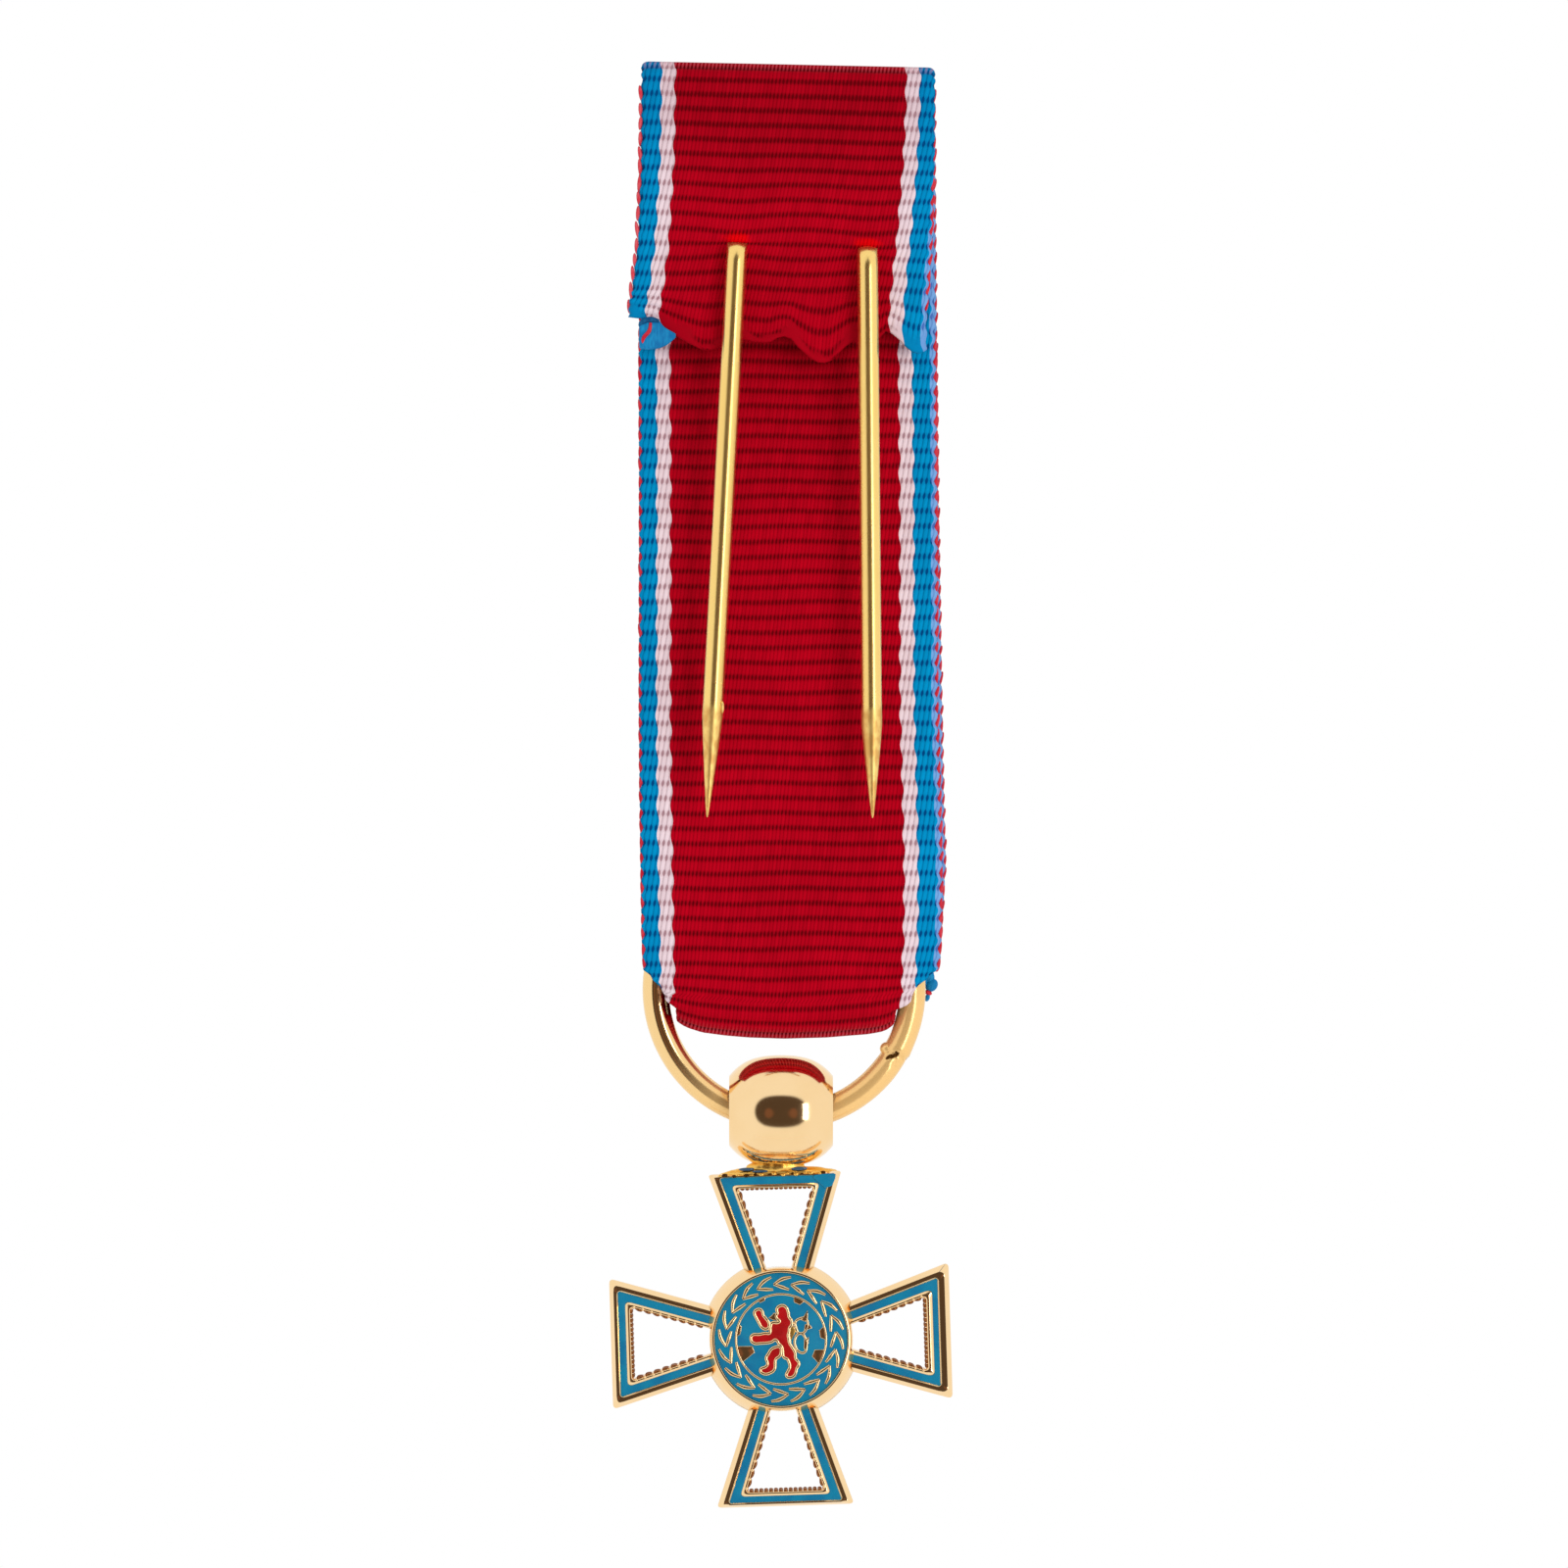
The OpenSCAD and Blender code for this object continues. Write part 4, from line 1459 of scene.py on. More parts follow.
@dataclass
class PinFitting(Part):
    """Gilt wire: a hidden bar with two prongs that come out through the flap and point down."""

    wire: float = 1.05
    bar_y: float = 1.585
    bar_z: float = -0.4
    stand_off: float = 0.9
    mitre: float = 0.13
    below_bend: float = 0.36
    elbow: float = 0.62
    drop: float = 28.6
    # How far the wire turns at each end of the mitre, and how much its pressed corner is squared
    mitre_turn: float = 22.5
    press: float = 0.75
    # Columns: root across, outward lean in degrees, length of the ground tip, how low it bends
    prongs: tuple[tuple[float, ...], ...] = ((-2.55, 3.0, 5.25, 0.0), (4.1, -0.5, 4.8, 0.27))
    # Columns: place along the ground tip from 0 to 1, thickness as a share of the wire's
    tip_shape: Rows2 = ((0.02, 1.0), (0.3, 0.78), (0.6, 0.5), (0.85, 0.26), (0.97, 0.12), (1.0, 0.04))

    def build(self) -> None:
        """Make the wire as two halves that meet in the middle of the bar."""
        halves = [self._half(x, lean, tip, low, 1 if x < 0 else -1) for x, lean, tip, low in self.prongs]
        # The small burr where the left prong's ground tip starts
        flake = ball("flake", Vector((-3.28, -1.2, -23.5)) * MM, (0.1, 0.1, 0.33), 2)
        piece = dress(joined([*halves, flake], "pin_wire"), self.finishes.pin)
        fasten(piece, Body.HANGER, "pin_fitting")

    def _half(self, root: float, lean: float, tip: float, low: float, inwards: int) -> Piece:
        """Make one prong with its half of the bar.

        Args:
            root: Place across of its root.
            lean: Outward lean in degrees.
            tip: Length of its ground tip.
            low: How far its bend lies below the bar.
            inwards: 1 if the bar lies to its right, and -1 if to its left.

        Returns:
            The half.
        """
        centre = sum(row[0] for row in self.prongs) / 2
        radius = self.wire / 2
        start = Vector((centre, self.bar_y, self.bar_z)) * MM
        bpy.ops.mesh.primitive_circle_add(vertices=40, radius=radius * MM, fill_type="NOTHING",
                                          location=start, rotation=(0.0, math.radians(90), 0.0))
        piece = settle(bpy.context.object, "prong")
        x = root + inwards * self.elbow
        with Editing(piece, whole=True):
            self._grow(Vector((x - centre, 0.0, 0.0)))
            pivot = Vector((x, self.bar_y - self.elbow, self.bar_z)) * MM
            angle = math.radians(-90) * inwards
            bpy.ops.mesh.spin(steps=8, angle=angle, center=pivot, axis=(0.0, 0.0, 1.0))
            corner = Vector((root, -self.stand_off, self.bar_z - low))
            self._grow(Vector((0.0, self.mitre - self.stand_off - self.bar_y + self.elbow, -low)))
            self._tilt(corner + Vector((0.0, self.mitre, 0.0)), self.mitre_turn, 1.0)
            self._grow(Vector((0.0, -self.mitre, -self.mitre)))
            self._tilt(corner - Vector((0.0, 0.0, self.mitre)), 2 * self.mitre_turn, 0.0)
            self._grow(Vector((0.0, 0.0, -self.below_bend)))
            spot = corner - Vector((0.0, 0.0, self.mitre + self.below_bend))
            self._tilt(spot, self.mitre_turn, -1.0)
            shaft = self.drop + self.bar_z - self.mitre - self.below_bend - tip + radius - low
            self._grow(Vector((0.0, 0.0, -shaft)))
            spot.z -= shaft
            for share, thick in self.tip_shape:
                self._taper(spot, share, thick, tip)
            bpy.ops.mesh.edge_face_add()
        self._flatten(piece, Vector((root, 0.0, self.bar_z - low)))
        self._lean(piece, root, lean)
        return smooth(piece, 50)

    def _flatten(self, piece: Piece, bend: Vector) -> None:
        """Square the top of the bend, where the wire was pressed.

        Args:
            piece: The prong.
            bend: Middle of the bend in mm.
        """
        for vert in piece.data.vertices:
            off = vert.co / MM - bend
            if off.y < -0.05 and off.z > 0.0:
                grow = math.hypot(off.x, off.z) / max(abs(off.x), off.z)
                grow = 1 + self.press * (grow - 1)
                vert.co.x = (bend.x + off.x * grow) * MM
                vert.co.z = (bend.z + off.z * grow) * MM

    def _grow(self, step: Vector) -> None:
        """Extrude the selected loop by a step in mm."""
        bpy.ops.mesh.extrude_region_move(TRANSFORM_OT_translate={"value": step * MM})

    def _tilt(self, centre: Vector, degrees: float, stretch: float) -> None:
        """Turn the selected loop from facing the pin side towards facing down.

        Args:
            centre: The loop's middle, in mm.
            degrees: How far it turns.
            stretch: 1 to widen it for a mitre, -1 to narrow it back and 0 to leave it.
        """
        bpy.ops.transform.rotate(value=math.radians(-degrees), orient_axis="X", center_override=centre * MM)
        ratio = (1 / math.cos(math.radians(self.mitre_turn))) ** stretch
        bpy.ops.transform.resize(value=(1.0, ratio, ratio), center_override=centre * MM)

    def _taper(self, spot: Vector, share: float, thick: float, tip: float) -> None:
        """Extrude the selected loop to a place on the ground tip.

        Args:
            spot: Where the tip starts, in mm.
            share: Place along the tip.
            thick: Thickness there as a share of the wire's.
            tip: Length of the tip.
        """
        mesh = bmesh.from_edit_mesh(bpy.context.object.data)
        picked = [vert for vert in mesh.verts if vert.select]
        middle = sum((vert.co for vert in picked), Vector()) / len(picked)
        size = max((vert.co - middle).length for vert in picked)
        target = spot + Vector((0.0, 0.0, -tip * share))
        self._grow(target - middle / MM)
        ratio = self.wire / 2 * thick * MM / size
        bpy.ops.transform.resize(value=(ratio, ratio, 1.0), center_override=target * MM)

    def _lean(self, piece: Piece, root: float, lean: float) -> None:
        """Lean what lies below the bend outwards about the prong's root.

        Args:
            piece: The prong.
            root: Place of its root across.
            lean: The lean in degrees.
        """
        turn = about(Vector((root, 0.0, self.bar_z)) * MM, turned(lean))
        for vert in piece.data.vertices:
            if vert.co.y < -0.001 * MM:
                vert.co = turn @ vert.co


@dataclass
class SuspensionRing(Part):
    """Round gilt ring with its soldered joint."""

    joint_angle: float = -31.0
    segments: int = 640
    sides: int = 28
    # Swelling of the wire at the joint: its reach in mm, and how it thickens above and thins below the seam
    swell_reach: float = 0.6
    swell_above: float = 0.07
    swell_below: float = 0.04
    # The seam: half its width in mm, its depth as a share of the wire, and its slant in depth and outwards
    seam_half: float = 0.06
    seam_depth: float = 0.11
    seam_slant: Point2 = (0.3, 0.25)
    pit_depth: float = 0.22
    # Columns: along the wire from the joint, outwards, towards the pin side, size
    pits: tuple[tuple[float, ...], ...] = (
        (-0.12, -0.3, 0.6, 0.13), (0.05, 0.05, 0.67, 0.1), (-0.3, 0.25, 0.62, 0.12), (0.2, 0.4, 0.53, 0.09))
    # Columns: along the wire, outwards, half length, half width, lean in degrees
    specks: tuple[tuple[float, ...], ...] = (
        (-0.2, -0.2, 0.2, 0.08, 68), (-0.04, -0.02, 0.2, 0.09, 62), (0.1, 0.1, 0.16, 0.07, 75),
        (0.2, 0.0, 0.07, 0.05, 40))

    def build(self) -> None:
        """Make the ring and the swelling at its joint."""
        layout = self.layout
        bpy.ops.mesh.primitive_torus_add(location=layout.ring * MM, rotation=(math.radians(90), 0.0, 0.0),
                                         major_segments=self.segments, minor_segments=self.sides,
                                         major_radius=layout.ring_r * MM, minor_radius=layout.wire / 2 * MM)
        ring = settle(bpy.context.object, "ring")
        self._swell(ring)
        ring = smooth(ring, 60)
        lump = ball("lump", self._joint(0.1, -0.5, 0.2) * MM, (0.36, 0.324, 0.342), 3, -self.joint_angle)
        parts = [dress(part, self.finishes.ring) for part in (ring, lump)]
        fasten(joined([*parts, *self._marks()], "ring_wire"), Body.HANGER, "suspension_ring")

    def _joint(self, along: float = 0.0, out: float = 0.0, towards: float = 0.0) -> Vector:
        """A point near the joint in mm.

        Args:
            along: Distance from the joint along the wire.
            out: Distance outwards from the wire's middle.
            towards: Distance towards the pin side.

        Returns:
            The point.
        """
        return self._on_wire(math.radians(self.joint_angle) + along / self.layout.ring_r, out, towards)

    def _on_wire(self, angle: float, out: float = 0.0, towards: float = 0.0) -> Vector:
        """A point at an angle round the ring, outwards and towards the pin side of the wire's middle."""
        radius = self.layout.ring_r + out
        return self.layout.ring + Vector((radius * math.cos(angle), -towards, radius * math.sin(angle)))

    def _swell(self, ring: Piece) -> None:
        """Thicken the wire at the joint and press a slanted seam and small pits into it.

        Args:
            ring: The plain ring.
        """
        middle = self._joint()
        centre = self.layout.ring
        in_depth, outwards = self.seam_slant
        pits = [(self._joint(along, out, towards), size) for along, out, towards, size in self.pits]
        for vert in ring.data.vertices:
            spot = vert.co / MM
            angle = math.atan2(spot.z - centre.z, spot.x - centre.x)
            core = self._on_wire(angle)
            away = (core - middle).length * (1 if angle > math.radians(self.joint_angle) else -1)
            off = spot - core
            slant = away + in_depth * off.y - outwards * off.dot((core - centre).normalized())
            upper = float(eased(slant, -0.04, 0.04))
            near = math.exp(-(away / self.swell_reach) ** 2)
            swell = near * (self.swell_above * upper - self.swell_below * (1 - upper))
            swell -= self.seam_depth * math.exp(-(slant / self.seam_half) ** 2)
            for pit, size in pits:
                swell -= self.pit_depth * math.exp(-((spot - pit).length / size) ** 2)
            vert.co = (core + off * (1 + swell)) * MM

    def _marks(self) -> list[Piece]:
        """Make the burnt specks in the joint's seam.

        Returns:
            The specks.
        """
        marks = []
        for along, out, long, wide, lean in self.specks:
            towards = math.sqrt((self.layout.wire / 2) ** 2 - out ** 2)
            place = self._joint(along, out, towards) * MM
            mark = ball("mark", place, (long, 0.06, wide), (12, 8), -self.joint_angle - lean)
            marks.append(dress(mark, self.finishes.soot))
        return marks


@dataclass
class Cross(Part):
    """Open-armed cross with its boss, relief, barrel bail and enamel."""

    reach: float = 8.5
    end_w: float = 6.7
    root_w: float = 3.85
    root_at: float = 4.0
    # Where the arms start under the boss, from the middle of the cross
    arm_from: float = 3.55
    rim: float = 0.5
    channel: float = 0.38
    bead_rim: float = 0.28
    beads: int = 8
    end_beads: int = 15
    bead_size: Point3 = (0.1, 0.14, 0.2)
    # Heights of the brown beads, whose darker gilt is painted shade and dark reflection, and of the bright
    # gaps between them, and how far they reach into the rim
    bead_heights: Point2 = (0.62, 0.65)
    bead_insets: Point2 = (0.06, 0.11)
    # Lowest bead from the middle of the cross, its lean in degrees, and the room left at the outer corner
    bead_from: float = 3.95
    bead_lean: float = 14.0
    bead_room: float = 0.1
    # Sizes of the bright gaps and of the beads at the window's end, as shares of a bead
    gap_shape: Point3 = (1.0, 1.1, 0.5)
    end_shape: Point3 = (0.7, 0.95, 0.52)
    # How far the end's row stands in from the window's sides, and out past its end
    end_inset: float = 0.05
    end_out: float = 0.03
    boss_r: float = 4.05
    window_r: float = 3.66
    recess_r: float = 3.4
    circle_r: float = 2.3
    circle_wire: float = 0.06
    # Leaves of the wreath: pairs, radius of their inner tips, radii of their outer ends, thickness
    leaf_pairs: int = 20
    leaf_tip: float = 2.83
    leaf_ends: Point2 = (3.21, 2.57)
    leaf_wire: float = 0.105
    # Gap and radius of the raised lines round the lion's and the tail's cells
    lion_line: Point2 = (0.06, 0.082)
    tail_line: Point2 = (0.045, 0.07)
    # Heights of the tufts and of the patches against the circle
    tuft_top: float = 0.985
    patch_top: float = 0.975
    # Blue in the arms' channels: its underside, its top, the rounding of its edges and of its corners
    fill_low: float = 0.46
    fill_high: float = 0.685
    fill_round: float = 0.02
    fill_corner: float = 0.25
    # How far it reaches into the outer rim, and how far it stops short of the inner rim
    fill_outer: float = 0.015
    fill_inner: float = 0.012
    # Saddle of solder on the top arm. Columns: across, up, half sizes across, in depth and up
    saddles: tuple[tuple[float, ...], ...] = ((0.1, 8.42, 3.05, 0.55, 0.42), (0.0, 8.78, 1.5, 0.6, 0.42))
    saddle_height: float = 0.1
    # Row of small lumps: how many, place of the first, pitch, mean size, place up the arm, height
    lumps: int = 25
    lump_from: float = -2.85
    lump_pitch: float = 0.23
    lump_size: float = 0.085
    lump_up: float = 8.42
    lump_height: float = 0.68
    # Columns: size and rate of the change from lump to lump. Rows: across, in size, up the arm
    lump_waves: Rows2 = ((0.04, 2.9), (0.03, 2.3), (0.04, 1.7))
    floor: float = 0.65
    enamel_top: float = 0.93
    relief_mid: float = 0.947
    barrel_len: float = 5.3
    barrel_r: float = 2.85
    barrel_end_r: float = 1.8
    barrel_steps: int = 32
    # How much the barrel's radius falls with the square and the fourth power of the way to its end
    barrel_fall: Point2 = (0.43, 0.57)
    bore_r: float = 1.13
    # Columns: inset of each loop of an arm from the one before, height of the loop, cut of its corners
    arm_steps: Rows3 = (
        (0.0, 0.0, 0.3), (0.002, 0.3, 0.3), (0.21, 0.742, 0.4), (0.014, 0.75, 0.42), (0.192, 0.75, 0.34),
        (0.02, 0.742, 0.3), (0.04, 0.7, 0.16), (0.022, 0.6, 0.06), (0.002, 0.45, 0.05),
        (0.36, 0.45, 0.24), (0.002, 0.65, 0.26), (0.012, 0.688, 0.28), (0.085, 0.75, 0.3),
        (0.02, 0.757, 0.32), (0.05, 0.757, 0.3), (0.03, 0.74, 0.26), (0.03, 0.68, 0.25),
        (0.02, 0.58, 0.2), (0.012, 0.4, 0.17), (0.004, 0.0, 0.15))
    # Rows: top, left, bottom and right arm. Columns: how far its end reaches out, then its left and its
    # right corner, as it points up
    arm_growth: Rows3 = ((0.0, 0.12, 0.0), (0.2, 0.0, 0.0), (0.05, 0.12, 0.2), (0.18, 0.3, 0.0))
    # Insets of the top arm's loops, then what they are at each arm's own end: top, left, bottom, right
    end_from: tuple[float, ...] = (0.0, 0.21, 0.44, 0.5, 0.875, 1.14, 4.0, 9.0)
    end_to: tuple[tuple[float, ...], ...] = (
        (0.0, 0.1, 0.16, 0.2, 0.58, 0.8, 4.0, 9.0), (0.0, 0.19, 0.37, 0.43, 0.76, 1.07, 4.0, 9.0),
        (0.0, 0.14, 0.2, 0.26, 0.56, 0.82, 4.0, 9.0), (0.0, 0.21, 0.53, 0.6, 0.86, 1.27, 4.0, 9.0))
    # Columns: inset of each loop of the boss from the one before, height of the loop
    boss_steps: Rows2 = (
        (0.002, 0.3), (0.388, 0.92), (0.09, 1.05), (0.03, 1.08), (0.03, 1.095), (0.07, 1.1), (0.02, 1.085),
        (0.01, 1.05), (0.01, 0.65))

    def build(self) -> None:
        """Make the gold as one piece, then every enamel."""
        self._gold()
        self._arm_enamels(Side.PIN, "enamel")
        self._arm_enamels(Side.FRONT, "front_enamel")
        self._boss_enamels()

    def _gold(self) -> None:
        """Make arms, boss, relief, barrel and solder."""
        arm = self._arm()
        arms = [self._placed(arm, "arm", k) for k in range(4)]
        bpy.data.objects.remove(arm)
        parts = [self._boss(), *self._wreath(), *self._relief(), self._barrel()]
        parts[0].data.transform(self.layout.turn(self.layout.lean))
        for part in parts:
            dress(part, self.finishes.cross)
        # The bare yellow patch between the lion's back and its tail
        patch = dress(self._patch([(0.47, 0.78), (0.78, 0.47), (0.5, -0.1)], 0.98), self.finishes.solder)
        parts += [patch, *arms, *self._solder()]
        fasten(joined(parts, "cross_gold"), Body.DROP, "cross")

    def _placed(self, piece: Piece, name: str, k: int) -> Piece:
        """Copy a piece of the top arm to an arm, and stretch it to that arm's own outline.

        Args:
            piece: The piece on the top arm.
            name: Name of the copy.
            k: The arm, counted anticlockwise from the top.

        Returns:
            The copy.
        """
        twin = copied(piece, name, Matrix.Identity(4))
        out, left, right = self.arm_growth[k]
        for vert in twin.data.vertices:
            x = vert.co.x / MM - self.layout.cross.x
            was = vert.co.z / MM - self.layout.cross.z
            up = self.reach - float(np.interp(self.reach - was, self.end_from, self.end_to[k]))
            x *= self._half_width(up) / self._half_width(was)
            share = max(0.0, up - self.root_at) / (self.reach - self.root_at)
            x += (left if x < 0 else right) * x / (self.end_w / 2) * share
            vert.co.x = (self.layout.cross.x + x) * MM
            vert.co.z = (self.layout.cross.z + up + out * share) * MM
        twin.data.transform(self.layout.turn(self.layout.lean + 90 * k))
        return twin

    def _half_width(self, distance: float, inset: float = 0.0) -> float:
        """Half width of an arm in mm.

        Args:
            distance: Distance from the middle of the cross.
            inset: How far the outline is drawn in.

        Returns:
            The half width there.
        """
        slope = (self.end_w - self.root_w) / 2 / (self.reach - self.root_at)
        return self.root_w / 2 + slope * (distance - self.root_at) - inset * math.hypot(1, slope)

    def _outline(self, inset: float) -> list[Point2]:
        """Outline of the top arm, drawn in by an inset.

        Args:
            inset: How far it is drawn in, in mm.

        Returns:
            The four corners, from the left root.
        """
        start, end = self.arm_from, self.reach - inset
        low, high = self._half_width(start, inset), self._half_width(end, inset)
        return [(-low, start), (-high, end), (high, end), (low, start)]

    def _arm(self) -> Piece:
        """Model the top arm: its rims, channel and beaded window.

        Returns:
            The arm, pointing straight up.
        """
        section = []
        inset = 0.0
        for step, height, cut in self.arm_steps:
            inset += step
            section.append((inset, height, cut))
        section += [(inset, -height, cut) for inset, height, cut in section[-2:0:-1]]
        rings = [[self.layout.on_cross(x, up, height) for x, up in self._rounded(inset, cut)]
                 for inset, height, cut in section]
        count, points = len(rings), len(rings[0])
        pairs = [(i * points + j, (i + 1) % count * points + j)
                 for i in range(count) for j in range(points - 1)]
        faces = [[here, here + 1, there + 1, there] for here, there in pairs]
        faces += [[i * points + end for i in range(count)] for end in (0, points - 1)]
        mesh = bpy.data.meshes.new("arm")
        mesh.from_pydata([spot for ring in rings for spot in ring], [], faces)
        arm = added("arm", mesh)
        with Editing(arm, whole=True):
            bpy.ops.mesh.normals_make_consistent(inside=False)
        return joined([dress(smooth(arm, 20), self.finishes.cross), *self._beads()], "arm")

    def _rounded(self, inset: float, cut: float) -> list[Point2]:
        """Outline of the top arm from the boss, drawn in by an inset, with its outer corners rounded.

        Args:
            inset: How far it is drawn in.
            cut: How much of each side a corner's curve takes.

        Returns:
            The open outline from the left root to the right root.
        """
        root, left, right, last = (Vector(point) for point in self._outline(inset))
        outline = [root]
        for before, corner, after in ((root, left, right), (left, right, last)):
            enter = corner + (before - corner).normalized() * cut
            leave = corner + (after - corner).normalized() * cut
            for k in range(9):
                share = k / 8
                bend = corner * 2 * share * (1 - share)
                outline.append(enter * (1 - share) ** 2 + bend + leave * share ** 2)
        return [(point.x, point.y) for point in (*outline, last)]

    def _beads(self) -> list[Piece]:
        """Model one bead and copy it along the window's two long sides and its end.

        Returns:
            The beads.
        """
        window = self.rim + self.channel + self.bead_rim
        low, high = self.bead_from, self.reach - window - self.bead_room
        slope = math.degrees(math.atan2(self._half_width(high) - self._half_width(low), high - low))
        bead = ball("bead", Vector(), self.bead_size, (10, 7))
        gap = Matrix.Diagonal((*self.gap_shape, 1.0))
        brown_in, bright_in = self.bead_insets
        brown = []
        bright = []
        for k in range(self.beads):
            up = low + (high - low) * (k + 0.5) / self.beads
            next_up = up + (high - low) * 0.5 / self.beads
            for hand in (-1, 1):
                turn = turned(hand * slope + self.bead_lean)
                brown.append((hand * self._half_width(up, window - brown_in), up, turn))
                bright.append((hand * self._half_width(next_up, window - bright_in), next_up, turn @ gap))
        half = self._half_width(high) - window - self.end_inset
        small = turned(90) @ Matrix.Diagonal((*self.end_shape, 1.0))
        for k in range(self.end_beads):
            x = half * (2 * (k + 0.5) / self.end_beads - 1)
            brown.append((x, self.reach - window + self.end_out, small))
        beads = []
        for places, finish, height in zip((brown, bright), (self.finishes.beads, self.finishes.cross),
                                          self.bead_heights):
            dress(bead, finish)
            for x, up, turn in places:
                for side in Side:
                    spot = self.layout.on_cross(x, up, height, side)
                    beads.append(copied(bead, "bead_copy", Matrix.Translation(spot) @ turn))
        bpy.data.objects.remove(bead)
        return beads

    def _boss(self) -> Piece:
        """Model the round boss with its bevel and its recess on both faces.

        Returns:
            The boss.
        """
        bpy.ops.mesh.primitive_circle_add(vertices=144, radius=self.boss_r * MM, fill_type="NGON",
                                          location=self.layout.cross * MM,
                                          rotation=(math.radians(90), 0.0, 0.0))
        boss = bpy.context.object
        with Editing(boss, whole=True) as edit:
            edit.terraces(self.boss_steps, Vector((0.0, -1.0, 0.0)))
            edit.pick(self._in_window)
            share = self.window_r / self.boss_r
            bpy.ops.transform.resize(value=(share, 1.0, share), center_override=self.layout.cross * MM)
        modify(boss, "MIRROR", use_axis=(False, False, True), merge_threshold=0.002 * MM)
        return smooth(settle(boss, "boss"), 35)

    def _in_window(self, vert: bmesh.types.BMVert) -> bool:
        """Tell whether a vertex of the boss's foot lies in one of the windows.

        Args:
            vert: A vertex, measured from the middle of the boss.

        Returns:
            True inside a window.
        """
        x, up = vert.co.x / MM, vert.co.y / MM
        half = self._half_width(self.boss_r, self.rim + self.channel + self.bead_rim) + 0.06
        return math.hypot(x, up) > self.window_r + 0.1 and min(abs(x), abs(up)) < half

    def _polar(self, radius: float, degrees: float) -> Point2:
        """A point by radius and clockwise angle from the top."""
        turn = math.radians(degrees)
        return radius * math.sin(turn), radius * math.cos(turn)

    def _line(self, name: str, route: Sequence[Point2], radius: float, ends: float = 0.5,
              closed: bool = False) -> Piece:
        """A raised round line on the pin side of the boss.

        Args:
            name: Name of the line.
            route: Its points in mm from the middle.
            radius: Its radius in mm.
            ends: Radius of its ends as a share.
            closed: Whether it closes.

        Returns:
            The line.
        """
        spots = [self.layout.on_cross(x, up, self.relief_mid) / MM for x, up in route]
        line = cord(name, spots, radius, ends, closed)
        with Editing(line, whole=True):
            middle = self.layout.on_cross(0.0, 0.0, self.relief_mid)
            bpy.ops.transform.resize(value=(1.0, 0.62, 1.0), center_override=middle)
        return smooth(line, 60)

    def _wreath(self) -> list[Piece]:
        """Model one pair of leaves and copy it round the boss.

        Returns:
            All the leaves.
        """
        turn = 360 / self.leaf_pairs
        tip = self.leaf_tip
        leaves = []
        for end in self.leaf_ends:
            route = [self._polar(tip, -0.42 * turn), self._polar(tip + 0.66 * (end - tip), 0.08 * turn),
                     self._polar(end, 0.5 * turn)]
            leaves.append(self._line("leaf", route, self.leaf_wire, 0.6))
        pair = joined(leaves, "leaf_pair")
        turns = [self.layout.turn(-turn * k) for k in range(self.leaf_pairs)]
        pairs = [copied(pair, "leaf_pair_copy", matrix) for matrix in turns]
        bpy.data.objects.remove(pair)
        circle = [self._polar(self.circle_r, 15 * k) for k in range(24)]
        pairs.append(self._line("thin_circle", circle, self.circle_wire, closed=True))
        return pairs

    def _relief(self) -> list[Piece]:
        """Model the lion's outline, the tail and the small patches.

        Returns:
            The raised lines and patches.
        """
        lines = []
        lion, tail = (LION, FOREPAW, HIND_LEG), (UPPER_LOOP, LOWER_LOOP)
        for cells, (gap, radius) in ((lion, self.lion_line), (tail, self.tail_line)):
            lines += [self._line("outline", grown(cell, gap), radius, closed=True) for cell in cells]
        lines.append(self._line("tail_stem", TAIL_STEM, self.tail_line[1]))
        lines += [self._patch(shape, self.tuft_top) for shape in (JAW, *TUFTS)]
        for angle, span, depth in PATCHES:
            inner = 0.6 * span
            corners = ((0.0, -span), (0.0, 0.0), (0.0, span), (depth, inner), (depth, -inner))
            shape = [self._polar(self.circle_r - drop, angle + away) for drop, away in corners]
            lines.append(self._patch(shape, self.patch_top))
        return lines

    def _patch(self, shape: list[Point2], top: float) -> Piece:
        """A small raised patch on the boss's pin side."""
        return plate("patch", [shape], 0.8, top, 0.03, self.layout)

    def _barrel(self) -> Piece:
        """Model the barrel: a cylinder whose loops swell towards its middle, bored through.

        Returns:
            The barrel.
        """
        axis = self.layout.axis * MM
        length = self.barrel_len
        bpy.ops.mesh.primitive_cylinder_add(vertices=96, radius=self.barrel_end_r * MM, depth=length * MM,
                                            end_fill_type="NGON", location=axis,
                                            rotation=(0.0, math.radians(90), 0.0))
        barrel = settle(bpy.context.object, "barrel")
        steps = self.barrel_steps
        square, fourth = self.barrel_fall
        with Editing(barrel) as edit:
            for k in range(1, steps):
                place = axis + Vector(((k / steps - 0.5) * length * MM, 0.0, 0.0))
                bpy.ops.mesh.select_all(action="SELECT")
                bpy.ops.mesh.bisect(plane_co=place, plane_no=(1.0, 0.0, 0.0))
            for k in range(1, steps):
                off = (k / steps - 0.5) * length
                share = (2 * off / length) ** 2
                fall = (self.barrel_r - self.barrel_end_r) * (square * share + fourth * share ** 2)
                ratio = (self.barrel_r - fall) / self.barrel_end_r
                centre = axis + Vector((off * MM, 0.0, 0.0))
                edit.pick(lambda vert: abs(vert.co.x - centre.x) < 0.005 * MM)
                bpy.ops.transform.resize(value=(1.0, ratio, ratio), center_override=centre)
            edit.pick(lambda face: len(face.verts) > 8, "FACE")
            bpy.ops.mesh.inset(thickness=(self.barrel_end_r - self.bore_r) * MM, use_individual=True)
            bpy.ops.mesh.bridge_edge_loops()
        return smooth(barrel, 35)

